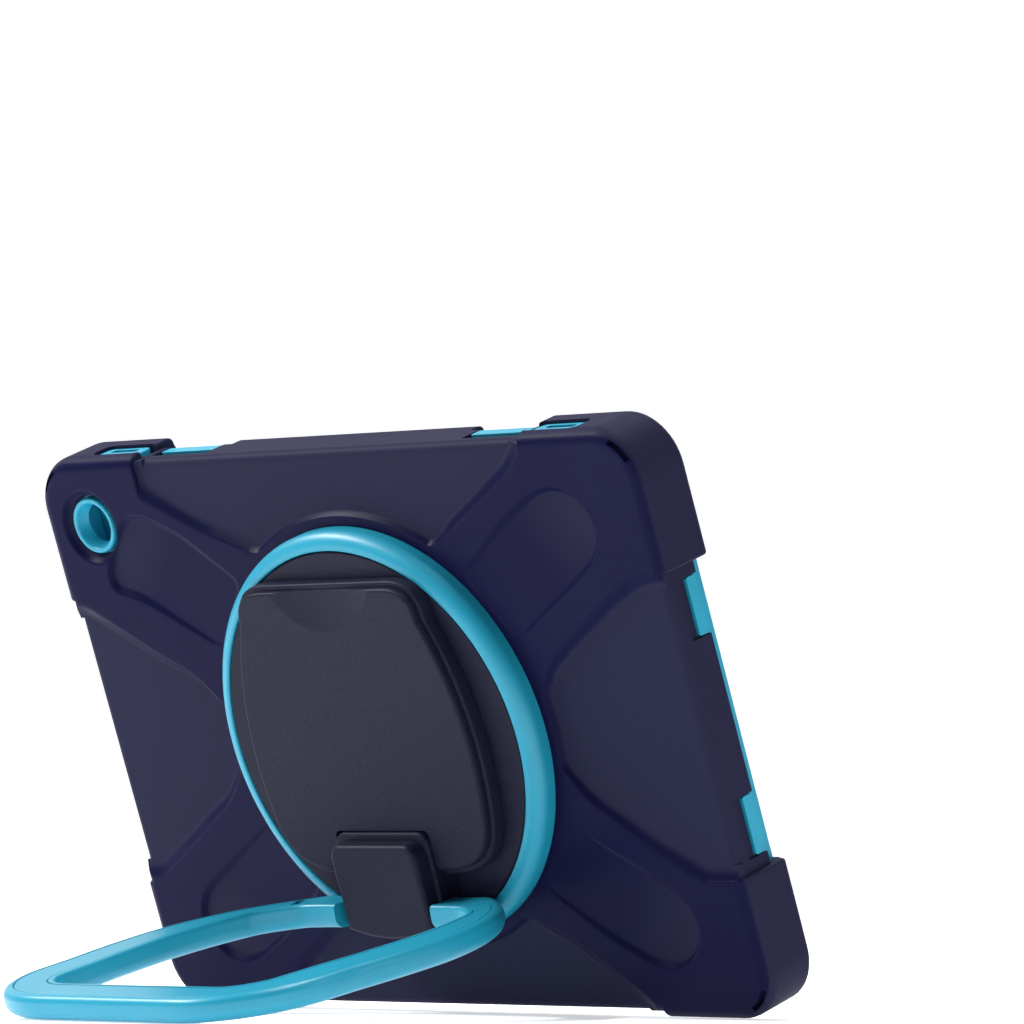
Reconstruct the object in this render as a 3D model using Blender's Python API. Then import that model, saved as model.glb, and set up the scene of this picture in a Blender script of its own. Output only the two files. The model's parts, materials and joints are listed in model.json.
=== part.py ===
"""Rugged tablet case with a swivel disc and a folding ring handle that is also its stand.

The case is modelled in its own frame: X across the long side, Y up the short side, Z out of
the back, with the origin on the swivel axis at the sleeve's raised back surface. The parent
empty case_frame then leans it back on the open handle, with the table at world Z = 0.
"""

import math

import bmesh
import bpy
from mathutils import Matrix, Vector

MM = 0.001

# Pose of the standing case.
LEAN = math.radians(20.4)
TABLE_DROP = 86.318
CENTRE_SHIFT = 34.3
HANDLE_OPEN = math.radians(82.42)

# Tablet bay and shells.
BAY = (123.8, 83.3)
BAY_R = 9.0
BAY_FLOOR = -6.0
BAY_FRONT = -15.3
SHELL = (129.3, 89.3)
SHELL_R = 13.0
SHELL_BACK = -4.3
SHELL_FRONT = -15.3
FRAME_BACK = -15.6
FRAME_FRONT = -19.6
SCREEN = (109.6, 69.0)
SLOPE = 7.3
GAP = 0.3

# Silicone sleeve.
WALL = (131.4, 91.4)
WALL_R = 15.1
GUARD = (133.5, 93.5)
GUARD_R = 17.2
SLEEVE_FLOOR = -4.0
LIP_FRONT = -20.5
LIP_BACK = -18.6
LIP_INNER = (125.2, 85.0)
LIP_INNER_R = 10.0
BACK_FILLET = 3.5
GUARD_FILLET = 4.6
FRONT_FILLET = 1.7
GUARD_END_LONG = 85.6
GUARD_END_SHORT = 48.0
LIP_HALF_LONG = 53.2
PANEL_DEPTH = 2.2
OPEN_EDGE = -15.0
RIM_R = 70.7
TAB_BACK = -10.0
TAB_RECESS = -6.6

# Swivel.
HOLE_R = 67.8
COLLAR_IN = 61.9
COLLAR_OUT = 67.5
COLLAR_CREST = 7.6
COLLAR_ROUND = 5.0
DISC_R = 61.6
DISC_BACK = 1.2
DISC_TOP = 7.3
HUB_R = 16.0
HUB_END = -2.8
PLATE_TOP = 12.0
COVER_TOP = 14.5

# Hinge and handle.
AXIS_Y = -53.4
AXIS_Z = 13.0
PIN_R = 1.3
RUN = 0.05
HOUSING_TOP = 16.0
BLOCK_TOP = 21.5
RING_R = 68.5
RING_TIP = 76.0
HOLE_TIP = 58.5
FLAT = -4.0
ROUND = 4.0
SEAT_MARGIN = 3.2
SEAT_INNER = 2.4
SEAT_DEPTH = 1.2
SEAT_FIRST = 5

PALETTE = {
    "silicone": ((0.0144, 0.0144, 0.0612), 0.55),
    "cyan": ((0.0595, 0.4287, 0.6445), 0.38),
    "graphite": ((0.0262, 0.0262, 0.0529), 0.45),
    "steel": ((0.55, 0.56, 0.58), 0.3),
    "washer": ((0.02, 0.02, 0.022), 0.5),
}


def clear_scene():
    for item in list(bpy.data.objects):
        bpy.data.objects.remove(item, do_unlink=True)


def material(name, look):
    colour, rough = PALETTE[look]
    made = bpy.data.materials.new(name)
    made.use_nodes = True
    shader = made.node_tree.nodes["Principled BSDF"]
    shader.inputs["Base Color"].default_value = (*colour, 1.0)
    shader.inputs["Roughness"].default_value = rough
    shader.inputs["Metallic"].default_value = 1.0 if look == "steel" else 0.0
    return made


# Outlines are lists of (a, b) in millimetres, counter-clockwise.


def arc(centre, radius, start, end, count):
    """Points on an arc, both ends included, angles in degrees."""
    points = []
    for step in range(count + 1):
        angle = math.radians(start + (end - start) * step / count)
        x = centre[0] + radius * math.cos(angle)
        y = centre[1] + radius * math.sin(angle)
        points.append((x, y))
    return points


def circle(centre, radius, count):
    return arc(centre, radius, 0.0, 360.0, count)[:-1]


def rounded_rect(half, radius, count=7, centre=(0.0, 0.0)):
    hx, hy = half
    points = []
    corners = ((1, 1, 0), (-1, 1, 90), (-1, -1, 180), (1, -1, 270))
    for sx, sy, start in corners:
        middle = (centre[0] + sx * (hx - radius), centre[1] + sy * (hy - radius))
        points += arc(middle, radius, start, start + 90, count)
    return points


def box_outline(a0, b0, a1, b1):
    return [(a0, b0), (a1, b0), (a1, b1), (a0, b1)]


def mirrored(outline, flip_x, flip_y):
    points = [(-x if flip_x else x, -y if flip_y else y) for x, y in outline]
    return points[::-1] if flip_x != flip_y else points


def inset(outline, widths):
    """Each corner moved inwards by its own width, square to the two edges that meet there."""
    count = len(outline)
    moved = []
    for i, (x, y) in enumerate(outline):
        before = Vector(outline[i]) - Vector(outline[i - 1])
        after = Vector(outline[(i + 1) % count]) - Vector(outline[i])
        before.normalize()
        after.normalize()
        normal = Vector((-before.y - after.y, before.x + after.x))
        normal.normalize()
        spread = max(0.5, normal.dot(Vector((-before.y, before.x))))
        moved.append((x + normal.x * widths[i] / spread, y + normal.y * widths[i] / spread))
    return moved


# Solids are (points, faces) with faces facing outwards.


def loft(rings):
    """A closed solid through rings of equal count, capped at both ends."""
    count = len(rings[0])
    points = [point for ring in rings for point in ring]
    faces = [list(range(count))[::-1]]
    for level in range(len(rings) - 1):
        low = level * count
        high = low + count
        for i in range(count):
            j = (i + 1) % count
            faces.append([low + i, low + j, high + j, high + i])
    last = (len(rings) - 1) * count
    faces.append([last + i for i in range(count)])
    return points, faces


def level(outline, z):
    return [(x, y, z) for x, y in outline]


def prism(outline, z0, z1):
    return loft([level(outline, z0), level(outline, z1)])


def rounded_block(half, radius, z0, z1, low_fillet, high_fillet, steps=3, count=7):
    """A rounded rectangle's prism with its two rims filleted."""
    rings = []
    for step in range(steps + 1 if low_fillet else 1):
        angle = math.radians(90.0 * step / steps)
        back = low_fillet * (1 - math.sin(angle))
        size = (half[0] - back, half[1] - back)
        rings.append(level(rounded_rect(size, radius - back, count), z0 + low_fillet * (1 - math.cos(angle))))
    for step in range(steps + 1 if high_fillet else 1):
        angle = math.radians(90.0 * step / steps)
        back = high_fillet * (1 - math.cos(angle))
        size = (half[0] - back, half[1] - back)
        rings.append(level(rounded_rect(size, radius - back, count), z1 - high_fillet * (1 - math.sin(angle))))
    return loft(rings)


def turned(profile, count, centre=(0.0, 0.0)):
    """A solid of revolution about Z from (radius, z) points; the ends are capped discs."""
    return loft([level(circle(centre, radius, count), z) for radius, z in profile])


def tube(profile, count):
    """A ring of revolution about Z from a closed (radius, z) section, counter-clockwise."""
    size = len(profile)
    points = []
    for i in range(count):
        angle = math.radians(360.0 * i / count)
        for radius, z in profile:
            points.append((radius * math.cos(angle), radius * math.sin(angle), z))
    faces = []
    for i in range(count):
        j = (i + 1) % count
        for a in range(size):
            b = (a + 1) % size
            faces.append([i * size + a, j * size + a, j * size + b, i * size + b])
    return points, faces


def along_x(solid):
    """A solid whose outline is (y, z) and whose length is x."""
    points, faces = solid
    return [(c, a, b) for a, b, c in points], faces


def along_y(solid):
    """A solid whose outline is (z, x) and whose length is y."""
    points, faces = solid
    return [(b, c, a) for a, b, c in points], faces


def shifted(solid, offset):
    points, faces = solid
    moved = [(x + offset[0], y + offset[1], z + offset[2]) for x, y, z in points]
    return moved, faces


def make(name, *solids, split=False):
    points = []
    faces = []
    for more_points, more_faces in solids:
        base = len(points)
        points += [(x * MM, y * MM, z * MM) for x, y, z in more_points]
        faces += [[base + i for i in face] for face in more_faces]
    mesh = bpy.data.meshes.new(name)
    mesh.from_pydata(points, [], faces)
    shape = bmesh.new()
    shape.from_mesh(mesh)
    if split:
        bmesh.ops.triangulate(shape, faces=shape.faces)
    bmesh.ops.recalc_face_normals(shape, faces=shape.faces)
    shape.to_mesh(mesh)
    shape.free()
    item = bpy.data.objects.new(name, mesh)
    bpy.context.scene.collection.objects.link(item)
    return item


def helper(name, *solids):
    """A cutter or an addition: it takes part in a Boolean and isn't rendered."""
    item = make(name, *solids, split=True)
    item.hide_render = True
    item.display_type = "WIRE"
    return item


def apply_boolean(target, other, operation):
    step = target.modifiers.new(other.name, "BOOLEAN")
    step.operation = operation
    step.solver = "EXACT"
    step.object = other


def cut(target, *cutters):
    for cutter in cutters:
        apply_boolean(target, cutter, "DIFFERENCE")


def unite(target, *others):
    for other in others:
        apply_boolean(target, other, "UNION")


def dress(item, look, parent):
    item.data.materials.append(material(item.name, look))
    item.parent = parent
    return item


def empty(name, parent, matrix):
    item = bpy.data.objects.new(name, None)
    bpy.context.scene.collection.objects.link(item)
    item.parent = parent
    item.matrix_local = matrix
    return item


clear_scene()

lean_turn = Matrix.Rotation(math.radians(90.0) + LEAN, 4, "X")
stand = Matrix.Translation((0.0, CENTRE_SHIFT * MM, TABLE_DROP * MM)) @ lean_turn
case_frame = empty("case_frame", None, stand)
disc_axis = empty("disc_axis", case_frame, Matrix.Identity(4))
hinge_at = Matrix.Translation((0.0, AXIS_Y * MM, AXIS_Z * MM))
handle_axis = empty("handle_axis", disc_axis, hinge_at @ Matrix.Rotation(HANDLE_OPEN, 4, "X"))

# Silicone sleeve: a thin wall all round with a thick guard on each corner.

sleeve = make(
    "silicone_sleeve",
    rounded_block(WALL, WALL_R, LIP_FRONT, 0.0, FRONT_FILLET, BACK_FILLET),
)
guard_zone = helper(
    "guard_zone",
    prism(box_outline(GUARD_END_LONG, GUARD_END_SHORT, 150, 110), -30, 10),
    prism(box_outline(-150, 46.0, -GUARD_END_LONG, 110), -30, 10),
    prism(box_outline(-150, -110, -GUARD_END_LONG, -50.0), -30, 10),
    prism(box_outline(GUARD_END_LONG, -110, 150, -GUARD_END_SHORT), -30, 10),
)
guards = helper(
    "guards",
    rounded_block(GUARD, GUARD_R, LIP_FRONT, 0.0, FRONT_FILLET, GUARD_FILLET, 4),
)
apply_boolean(guards, guard_zone, "INTERSECT")
unite(sleeve, guards)
port_surround = helper(
    "port_surround",
    along_x(prism(rounded_rect((6.7, 4.6), 2.5, 4, (21.5, -10.7)), -132.6, -130.5)),
    along_x(prism(rounded_rect((4.4, 4.4), 4.3, 4, (8.0, -10.7)), -132.4, -130.5)),
)
unite(sleeve, port_surround)

cavity = helper(
    "cavity",
    prism(rounded_rect((SHELL[0] + GAP, SHELL[1] + GAP), SHELL_R + GAP), LIP_BACK, SLEEVE_FLOOR),
)
front_opening = helper(
    "front_opening",
    prism(rounded_rect(LIP_INNER, LIP_INNER_R), -22.0, LIP_BACK + 1.0),
)
edge_cuts = helper(
    "edge_cuts",
    prism(box_outline(LIP_HALF_LONG, 80, GUARD_END_LONG, 100), -22.0, OPEN_EDGE),
    prism(box_outline(-GUARD_END_LONG, 80, -LIP_HALF_LONG, 100), -22.0, OPEN_EDGE),
    prism(box_outline(LIP_HALF_LONG, -100, GUARD_END_LONG, -80), -22.0, OPEN_EDGE),
    prism(box_outline(-GUARD_END_LONG, -100, -LIP_HALF_LONG, -80), -22.0, OPEN_EDGE),
    prism(box_outline(120, -GUARD_END_SHORT, 140, GUARD_END_SHORT), -22.0, OPEN_EDGE),
    prism(box_outline(-140, -50.0, -120, 46.0), -22.0, OPEN_EDGE),
)
tab_windows = helper(
    "tab_windows",
    prism(box_outline(57, 88, 82, 100), -18.0, TAB_BACK),
    prism(box_outline(-82, 88, -57, 100), -18.0, TAB_BACK),
    prism(box_outline(57, -100, 82, -88), -18.0, TAB_BACK),
    prism(box_outline(-82, -100, -57, -88), -18.0, TAB_BACK),
    prism(box_outline(128, 25, 140, 44), -18.0, TAB_BACK),
    prism(box_outline(128, -44, 140, -25), -18.0, TAB_BACK),
    prism(box_outline(-140, -49.6, -128, -30.6), -18.0, TAB_BACK),
)
tab_recesses = helper(
    "tab_recesses",
    prism(box_outline(57, 90.2, 82, 100), -10.6, TAB_RECESS),
    prism(box_outline(-82, 90.2, -57, 100), -10.6, TAB_RECESS),
    prism(box_outline(57, -100, 82, -90.2), -10.6, TAB_RECESS),
    prism(box_outline(-82, -100, -57, -90.2), -10.6, TAB_RECESS),
    prism(box_outline(130.2, 25, 140, 44), -10.6, TAB_RECESS),
    prism(box_outline(130.2, -44, 140, -25), -10.6, TAB_RECESS),
    prism(box_outline(-140, -49.6, -130.2, -30.6), -10.6, TAB_RECESS),
)
side_holes = helper(
    "side_holes",
    along_x(prism(rounded_rect((5.35, 3.25), 2.0, 4, (35.0, -10.7)), -140, -125)),
    along_x(prism(rounded_rect((5.0, 2.9), 2.0, 4, (21.5, -10.7)), -140, -125)),
    along_x(prism(circle((8.0, -10.7), 3.2, 20), -140, -125)),
    along_x(prism(rounded_rect((11.05, 3.25), 2.0, 4, (-14.75, -10.7)), -140, -125)),
)
speaker_cuts = helper(
    "speaker_cuts",
    along_y(prism(rounded_rect((4.5, 11.5), 3.0, 5, (-8.7, 96.5)), 86, 100)),
    along_y(prism(rounded_rect((4.5, 11.5), 3.0, 5, (-8.7, -96.5)), 86, 100)),
)
lanyard_slots = helper(
    "lanyard_slots",
    *[
        prism(
            arc((sx * 116.3, sy * 76.3), 15.5, mid - 17, mid + 17, 6)
            + arc((sx * 116.3, sy * 76.3), 14.1, mid + 17, mid - 17, 6),
            -25,
            5,
        )
        for sx, sy, mid in ((1, 1, 45), (-1, 1, 135), (-1, -1, 225), (1, -1, 315))
    ],
)
swivel_hole = helper("swivel_hole", prism(circle((0, 0), HOLE_R, 64), -6, 5))
camera_sink = helper(
    "camera_sink",
    turned([(9.7, -6), (9.7, -3.0), (12.2, 0.0), (12.8, 0.7)], 32, (-112.4, 70.7)),
)

# Low panels between the four raised arms; each rim slopes, wider at the outer end.

top_panel = [(87.6, 90), (87.6, 100), (-88, 100), (-88, 90), (-88.3, 82.5), (-85.4, 79.1), (-61.7, 67.7)]
top_panel += arc((0, 0), RIM_R, 123.2, 56.8, 9)
top_panel += [(54.6, 67.8), (75.9, 79.7), (81.8, 83.3)]
top_widths = [4.5, 4.5, 4.5, 4.5, 4.5, 4.0, 3.2] + [1.6] * 10 + [3.2, 4.0, 4.5]
bottom_panel = [(-85, -89), (-85, -100), (85, -100), (85, -89), (78.6, -83.5), (65, -73.3), (51, -65)]
bottom_panel += arc((0, 0), RIM_R, -57.7, -122.3, 9)
bottom_panel += [(-51, -65), (-65, -73.3), (-78.6, -83.5)]
bottom_widths = [4.5, 4.5, 4.5, 4.5, 4.5, 4.0, 3.0] + [1.6] * 10 + [3.0, 4.0, 4.5]
left_panel = [(-126, 45.4), (-140, 45.4), (-140, -48.2), (-123.5, -48.2), (-100.6, -34.4), (-80.6, -21.6)]
left_panel += [(-74.2, -13.2)]
left_panel += arc((0, 0), RIM_R, 187.0, 173.5, 3)
left_panel += [(-78.6, 17), (-83.9, 21.6), (-95.8, 27.5)]
left_widths = [4.5, 4.5, 4.5, 4.5, 4.0, 3.2, 2.2] + [1.5] * 4 + [2.2, 2.8, 3.5]
right_panel = [(120, -49.2), (140, -49.2), (140, 49), (130, 49), (119, 47.6), (104, 39.5), (82.4, 25.8)]
right_panel += [(75, 20)]
right_panel += arc((0, 0), RIM_R, 9.3, -9.7, 4)
right_panel += [(76.5, -21.8), (95, -35.6), (115.5, -48.3)]
right_widths = [4.5, 4.5, 4.5, 4.5, 4.5, 4.0, 3.2, 2.4] + [1.6] * 5 + [2.4, 3.6, 4.5]


def panel_cutter(outline, widths):
    low = inset(outline, widths)
    return loft([level(low, -PANEL_DEPTH), level(outline, 0.0), level(outline, 3.0)])


panels = helper(
    "panels",
    panel_cutter(top_panel, top_widths),
    panel_cutter(bottom_panel, bottom_widths),
    panel_cutter(left_panel, left_widths),
    panel_cutter(right_panel, right_widths),
)

# Shallow pocket in each arm; its floor rises towards the swivel.

arm_pocket = [
    (65.6, 28.6), (98.3, 47.5), (106, 53), (110, 59.7), (109.4, 67.6), (103.5, 74.6),
    (95.2, 77.1), (87, 75.5), (71.5, 67.3), (49, 50.4),
]
camera_pocket = [
    (65.6, 28.6), (98.3, 46.0), (108.5, 48.5), (110.7, 53), (108, 60), (99, 71), (94, 74),
    (87, 74.2), (71.5, 67.3), (49, 50.4),
]


def pocket_cutter(outline, flip_x, flip_y):
    low = inset(outline, [1.2] + [1.8] * 8 + [1.2])
    rings = []
    for ring, floor in ((low, True), (outline, False), (outline, None)):
        points = []
        for x, y in mirrored(ring, flip_x, flip_y):
            along = (abs(x) * 0.8 + abs(y) * 0.6 - 68.0) / 55.0
            depth = -0.35 - 1.55 * along
            z = depth if floor else 0.0 if floor is False else 2.0
            points.append((x, y, z))
        rings.append(points)
    return loft(rings)


pockets = helper(
    "pockets",
    pocket_cutter(arm_pocket, False, False),
    pocket_cutter(camera_pocket, True, False),
    pocket_cutter(arm_pocket, True, True),
    pocket_cutter(arm_pocket, False, True),
)
cut(sleeve, cavity, front_opening, edge_cuts, tab_windows, tab_recesses, side_holes, speaker_cuts)
cut(sleeve, lanyard_slots, camera_sink, panels, pockets, swivel_hole)
dress(sleeve, "silicone", case_frame)

# Back shell: the rigid tray round the tablet, with the boss that carries the swivel.

shell = make(
    "back_shell",
    rounded_block(SHELL, SHELL_R, SHELL_FRONT, SHELL_BACK, 0.0, 0.9, 2),
)
boss = helper("boss", prism(circle((0, 0), 61.0, 64), -5.0, 0.9))
shell_tabs = helper(
    "shell_tabs",
    prism(box_outline(57.4, 86, 81.6, 91.2), -14.8, -10.4),
    prism(box_outline(-81.6, 86, -57.4, 91.2), -14.8, -10.4),
    prism(box_outline(57.4, -91.2, 81.6, -86), -14.8, -10.4),
    prism(box_outline(-81.6, -91.2, -57.4, -86), -14.8, -10.4),
    prism(box_outline(126, 25.4, 131.2, 43.6), -14.8, -10.4),
    prism(box_outline(126, -43.6, 131.2, -25.4), -14.8, -10.4),
    prism(box_outline(-131.2, -49.2, -126, -31.0), -14.8, -10.4),
)
speaker_pads = helper(
    "speaker_pads",
    along_y(prism(rounded_rect((3.9, 9.8), 2.4, 4, (-8.8, 97.2)), 86, 92.6)),
    along_y(prism(rounded_rect((3.9, 9.8), 2.4, 4, (-8.8, -97.2)), 86, 92.6)),
)
camera_tube = helper(
    "camera_tube",
    turned([(9.3, -5.5), (9.3, -1.9), (8.9, -1.5)], 32, (-112.4, 70.7)),
)
unite(shell, boss, shell_tabs, speaker_pads, camera_tube)
bay = helper("bay", prism(rounded_rect(BAY, BAY_R, 5), -20.0, BAY_FLOOR))
cover_seat = helper("cover_seat", prism(circle((0, 0), 57.0, 64), -8.0, -4.9))
clamp_seat = helper("clamp_seat", prism(circle((0, 0), 26.4, 40), -8.0, -2.8))
hub_hole = helper("hub_hole", prism(circle((0, 0), HUB_R + GAP, 40), -8.0, 4.0))
ring_groove = helper("ring_groove", tube([(16.9, -0.6), (24.3, -0.6), (24.3, 3.0), (16.9, 3.0)], 40))
camera_bore = helper(
    "camera_bore",
    turned([(6.4, -8.0), (6.4, -5.5), (7.6, -1.4), (7.6, 1.0)], 32, (-112.4, 70.7)),
)
button_pockets = helper(
    "button_pockets",
    along_x(prism(box_outline(28.6, -14.6, 41.4, -6.8), -131, -126.8)),
    along_x(prism(box_outline(-26.9, -14.6, -2.6, -6.8), -131, -126.8)),
)
plunger_holes = helper(
    "plunger_holes",
    along_x(prism(box_outline(32.7, -12.5, 37.3, -8.9), -131, -120)),
    along_x(prism(box_outline(-24.3, -12.5, -19.7, -8.9), -131, -120)),
    along_x(prism(box_outline(-9.8, -12.5, -5.2, -8.9), -131, -120)),
)
port_holes = helper(
    "port_holes",
    along_x(prism(rounded_rect((5.0, 2.9), 2.0, 4, (21.5, -10.7)), -140, -120)),
    along_x(prism(circle((8.0, -10.7), 3.2, 20), -140, -120)),
    along_y(prism(rounded_rect((1.2, 6.0), 1.1, 4, (-9.6, 97.2)), 80, 95)),
    along_y(prism(rounded_rect((1.2, 6.0), 1.1, 4, (-9.6, -97.2)), 80, 95)),
)
cut(shell, bay, cover_seat, clamp_seat, hub_hole, ring_groove, camera_bore)
cut(shell, button_pockets, plunger_holes, port_holes)
dress(shell, "cyan", case_frame)

# Front frame: a bezel whose inner rim slopes down to the screen.

frame = make(
    "front_frame",
    rounded_block(SHELL, SHELL_R, FRAME_FRONT, FRAME_BACK, 1.6, 0.0, 2),
)
lip_step = helper(
    "lip_step",
    rounded_block((135, 95), 18, -22.0, LIP_BACK + GAP, 0.0, 0.0, 1),
)
lip_keep = helper(
    "lip_keep",
    prism(rounded_rect((LIP_INNER[0] - GAP, LIP_INNER[1] - GAP), LIP_INNER_R), -24.0, -10.0),
    prism(box_outline(LIP_HALF_LONG + GAP, 80, GUARD_END_LONG - GAP, 100), -24.0, -10.0),
    prism(box_outline(-GUARD_END_LONG + GAP, 80, -LIP_HALF_LONG - GAP, 100), -24.0, -10.0),
    prism(box_outline(LIP_HALF_LONG + GAP, -100, GUARD_END_LONG - GAP, -80), -24.0, -10.0),
    prism(box_outline(-GUARD_END_LONG + GAP, -100, -LIP_HALF_LONG - GAP, -80), -24.0, -10.0),
    prism(box_outline(120, -GUARD_END_SHORT + GAP, 140, GUARD_END_SHORT - GAP), -24.0, -10.0),
    prism(box_outline(-140, -50.0 + GAP, -120, 46.0 - GAP), -24.0, -10.0),
)
step_steps = lip_step.modifiers.new("keep", "BOOLEAN")
step_steps.operation = "DIFFERENCE"
step_steps.solver = "EXACT"
step_steps.use_self = True
step_steps.object = lip_keep
screen_rings = [
    level(rounded_rect(SCREEN, 3.0, 5), -10.0),
    level(rounded_rect(SCREEN, 3.0, 5), -16.6),
    level(rounded_rect((SCREEN[0] + SLOPE, SCREEN[1] + SLOPE), 6.0, 5), FRAME_FRONT),
    level(rounded_rect((SCREEN[0] + SLOPE, SCREEN[1] + SLOPE), 6.0, 5), -22.0),
]
screen_cut = helper("screen_cut", loft(screen_rings[::-1]))
camera_dish = helper(
    "camera_dish",
    turned([(9.2, -22.0), (9.2, FRAME_FRONT), (4.2, -16.9)], 28, (0.0, 75.0)),
)
camera_hole = helper("camera_hole", prism(circle((0.0, 75.0), 2.2, 16), -17.5, -14.0))
cut(frame, lip_step, screen_cut, camera_dish, camera_hole)
dress(frame, "cyan", case_frame)

# Buttons: a pad outside, a flange behind the sleeve's wall and a plunger to the tablet's key.

power = make("power_button", along_x(prism(rounded_rect((5.0, 2.9), 1.8, 4, (35.0, -10.7)), -133.0, -128.9)))
power_parts = helper(
    "power_parts",
    along_x(prism(box_outline(29.0, -14.2, 41.0, -7.2), -129.3, -128.3)),
)
power_plunger = helper("power_plunger", along_x(prism(box_outline(33.2, -12.0, 36.8, -9.4), -128.8, -124.3)))
unite(power, power_parts, power_plunger)
dress(power, "silicone", case_frame)

volume = make(
    "volume_button",
    along_x(prism(rounded_rect((10.7, 2.9), 1.8, 4, (-14.75, -10.7)), -133.0, -128.9)),
)
volume_parts = helper(
    "volume_parts",
    along_x(prism(box_outline(-26.5, -14.2, -3.0, -7.2), -129.3, -128.3)),
)
volume_plungers = helper(
    "volume_plungers",
    along_x(prism(box_outline(-23.8, -12.0, -20.2, -9.4), -128.8, -124.3)),
    along_x(prism(box_outline(-9.3, -12.0, -5.7, -9.4), -128.8, -124.3)),
)
unite(volume, volume_parts, volume_plungers)
dress(volume, "silicone", case_frame)

# Swivel: a collar fixed to the case, and a disc clamped through the boss.

collar_profile = [(COLLAR_IN, -4.0), (COLLAR_OUT, -4.0)]
collar_profile += arc((COLLAR_OUT - COLLAR_ROUND, COLLAR_CREST - COLLAR_ROUND), COLLAR_ROUND, 0, 90, 7)
collar_profile += [(COLLAR_IN, COLLAR_CREST - 0.5)]
collar = make("swivel_collar", tube(collar_profile, 72))
dress(collar, "cyan", case_frame)

disc = make(
    "swivel_disc",
    turned(
        [(HUB_R, HUB_END), (HUB_R, DISC_BACK), (DISC_R, DISC_BACK), (DISC_R, DISC_TOP - 0.5), (DISC_R - 0.5, DISC_TOP)],
        72,
    ),
)
SCREW_ANGLES = (45, 135, 225, 315)
screw_spots = [(11.0 * math.cos(math.radians(a)), 11.0 * math.sin(math.radians(a))) for a in SCREW_ANGLES]
hinge_spots = [(-12.0, -45.0), (12.0, -45.0)]
pilot_holes = helper("pilot_holes", *[prism(circle(spot, 1.25, 12), -4.0, 2.7) for spot in screw_spots])
hinge_bores = helper("hinge_bores", *[prism(circle(spot, 1.5, 12), -1.0, 9.0) for spot in hinge_spots])
hinge_sinks = helper("hinge_sinks", *[prism(circle(spot, 2.8, 16), -1.0, 3.2) for spot in hinge_spots])
cut(disc, pilot_holes, hinge_bores, hinge_sinks)
dress(disc, "graphite", disc_axis)

friction = make("friction_ring", tube([(17.2, -0.3), (24.0, -0.3), (24.0, 0.9), (17.2, 0.9)], 40))
dress(friction, "washer", case_frame)

clamp = make("retaining_plate", prism(circle((0, 0), 26.0, 40), -4.7, -3.1))
clamp_holes = helper("clamp_holes", *[prism(circle(spot, 1.3, 12), -6.0, -2.0) for spot in screw_spots])
clamp_sinks = helper("clamp_sinks", *[prism(circle(spot, 2.5, 16), -6.0, -3.9) for spot in screw_spots])
cut(clamp, clamp_holes, clamp_sinks)
dress(clamp, "steel", disc_axis)

for number, (x, y) in enumerate(screw_spots, 1):
    screw = make(
        f"retaining_screw_{number}",
        turned([(2.2, -4.7), (2.2, -4.2), (1.0, -4.2), (1.0, 2.3)], 16, (x, y)),
    )
    dress(screw, "steel", disc_axis)

inner_cover = make("inner_cover", prism(circle((0, 0), 56.7, 64), -6.0, -5.2))
dress(inner_cover, "cyan", case_frame)

# Grip plate on the disc, its cover, and the hinge block let into its lower edge.


def plate_outline(grow):
    """The grip plate's outline: flat top and bottom, bowed sides and rounded corners."""
    side = []
    for step in range(13):
        y = 41.0 - 71.0 * step / 12
        x = math.sqrt(110.5**2 - (y + 3.0) ** 2) - 62.4 + grow
        side.append((x, y))
    top = 51.3 + grow * 1.15
    low = -39.7 - grow * 1.4
    right = [(27.5, top), (33.0, top - 1.6), (37.6, top - 5.0)]
    right += side
    right += [(37.6 + grow, low + 4.2), (32.6 + grow, low + 1.1), (26.5, low)]
    left = [(-x, y) for x, y in right[::-1]]
    return (right + left)[::-1]


plate = make("grip_plate", prism(plate_outline(1.5), DISC_TOP + GAP, PLATE_TOP))
cover = make(
    "grip_plate_cover",
    loft([
        level(plate_outline(0.0), PLATE_TOP + GAP),
        level(plate_outline(0.0), COVER_TOP - 0.6),
        level(plate_outline(-0.6), COVER_TOP),
    ]),
)
notch = prism(box_outline(-20.6, -60, 20.6, -26.6), 4.0, 17.0)
cut(plate, helper("plate_notch", notch))
scoop = helper(
    "scoop",
    loft([
        [(-23.3, 56.0, 15.5), (23.3, 56.0, 15.5), (0.0, 36.5, 15.1)],
        [(-23.3, 56.0, 14.6), (23.3, 56.0, 14.6), (0.0, 36.5, 14.45)],
        [(-14.0, 56.0, 12.7), (14.0, 56.0, 12.7), (0.0, 40.0, 14.0)],
    ]),
)
cut(cover, helper("cover_notch", notch), scoop)
dress(plate, "graphite", disc_axis)
dress(cover, "graphite", disc_axis)


def block_outline(half, top, low_radius, corner):
    """The hinge block's outline: rounded upper corners and a lower edge on the disc's arc."""
    low_angle = math.degrees(math.acos(half / low_radius))
    points = arc((0, 0), low_radius, 180 + low_angle, 360 - low_angle, 8)
    points += arc((half - corner, top - corner), corner, 0, 90, 4)
    points += arc((-half + corner, top - corner), corner, 90, 180, 4)
    return points


housing = make(
    "hinge_housing",
    loft([
        level(block_outline(20.2, -27.0, 60.9, 4.0), DISC_TOP + GAP),
        level(block_outline(20.2, -27.0, 60.9, 4.0), HOUSING_TOP - 0.7),
        level(block_outline(19.6, -27.6, 60.3, 3.4), HOUSING_TOP),
    ]),
)
pin_hole = helper("pin_hole", along_x(prism(circle((AXIS_Y, AXIS_Z), PIN_R + RUN, 24), -30, 30)))
housing_pilots = helper("housing_pilots", *[prism(circle(spot, 1.25, 12), 4.0, 11.0) for spot in hinge_spots])
cut(housing, pin_hole, housing_pilots)
dress(housing, "graphite", disc_axis)

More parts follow.
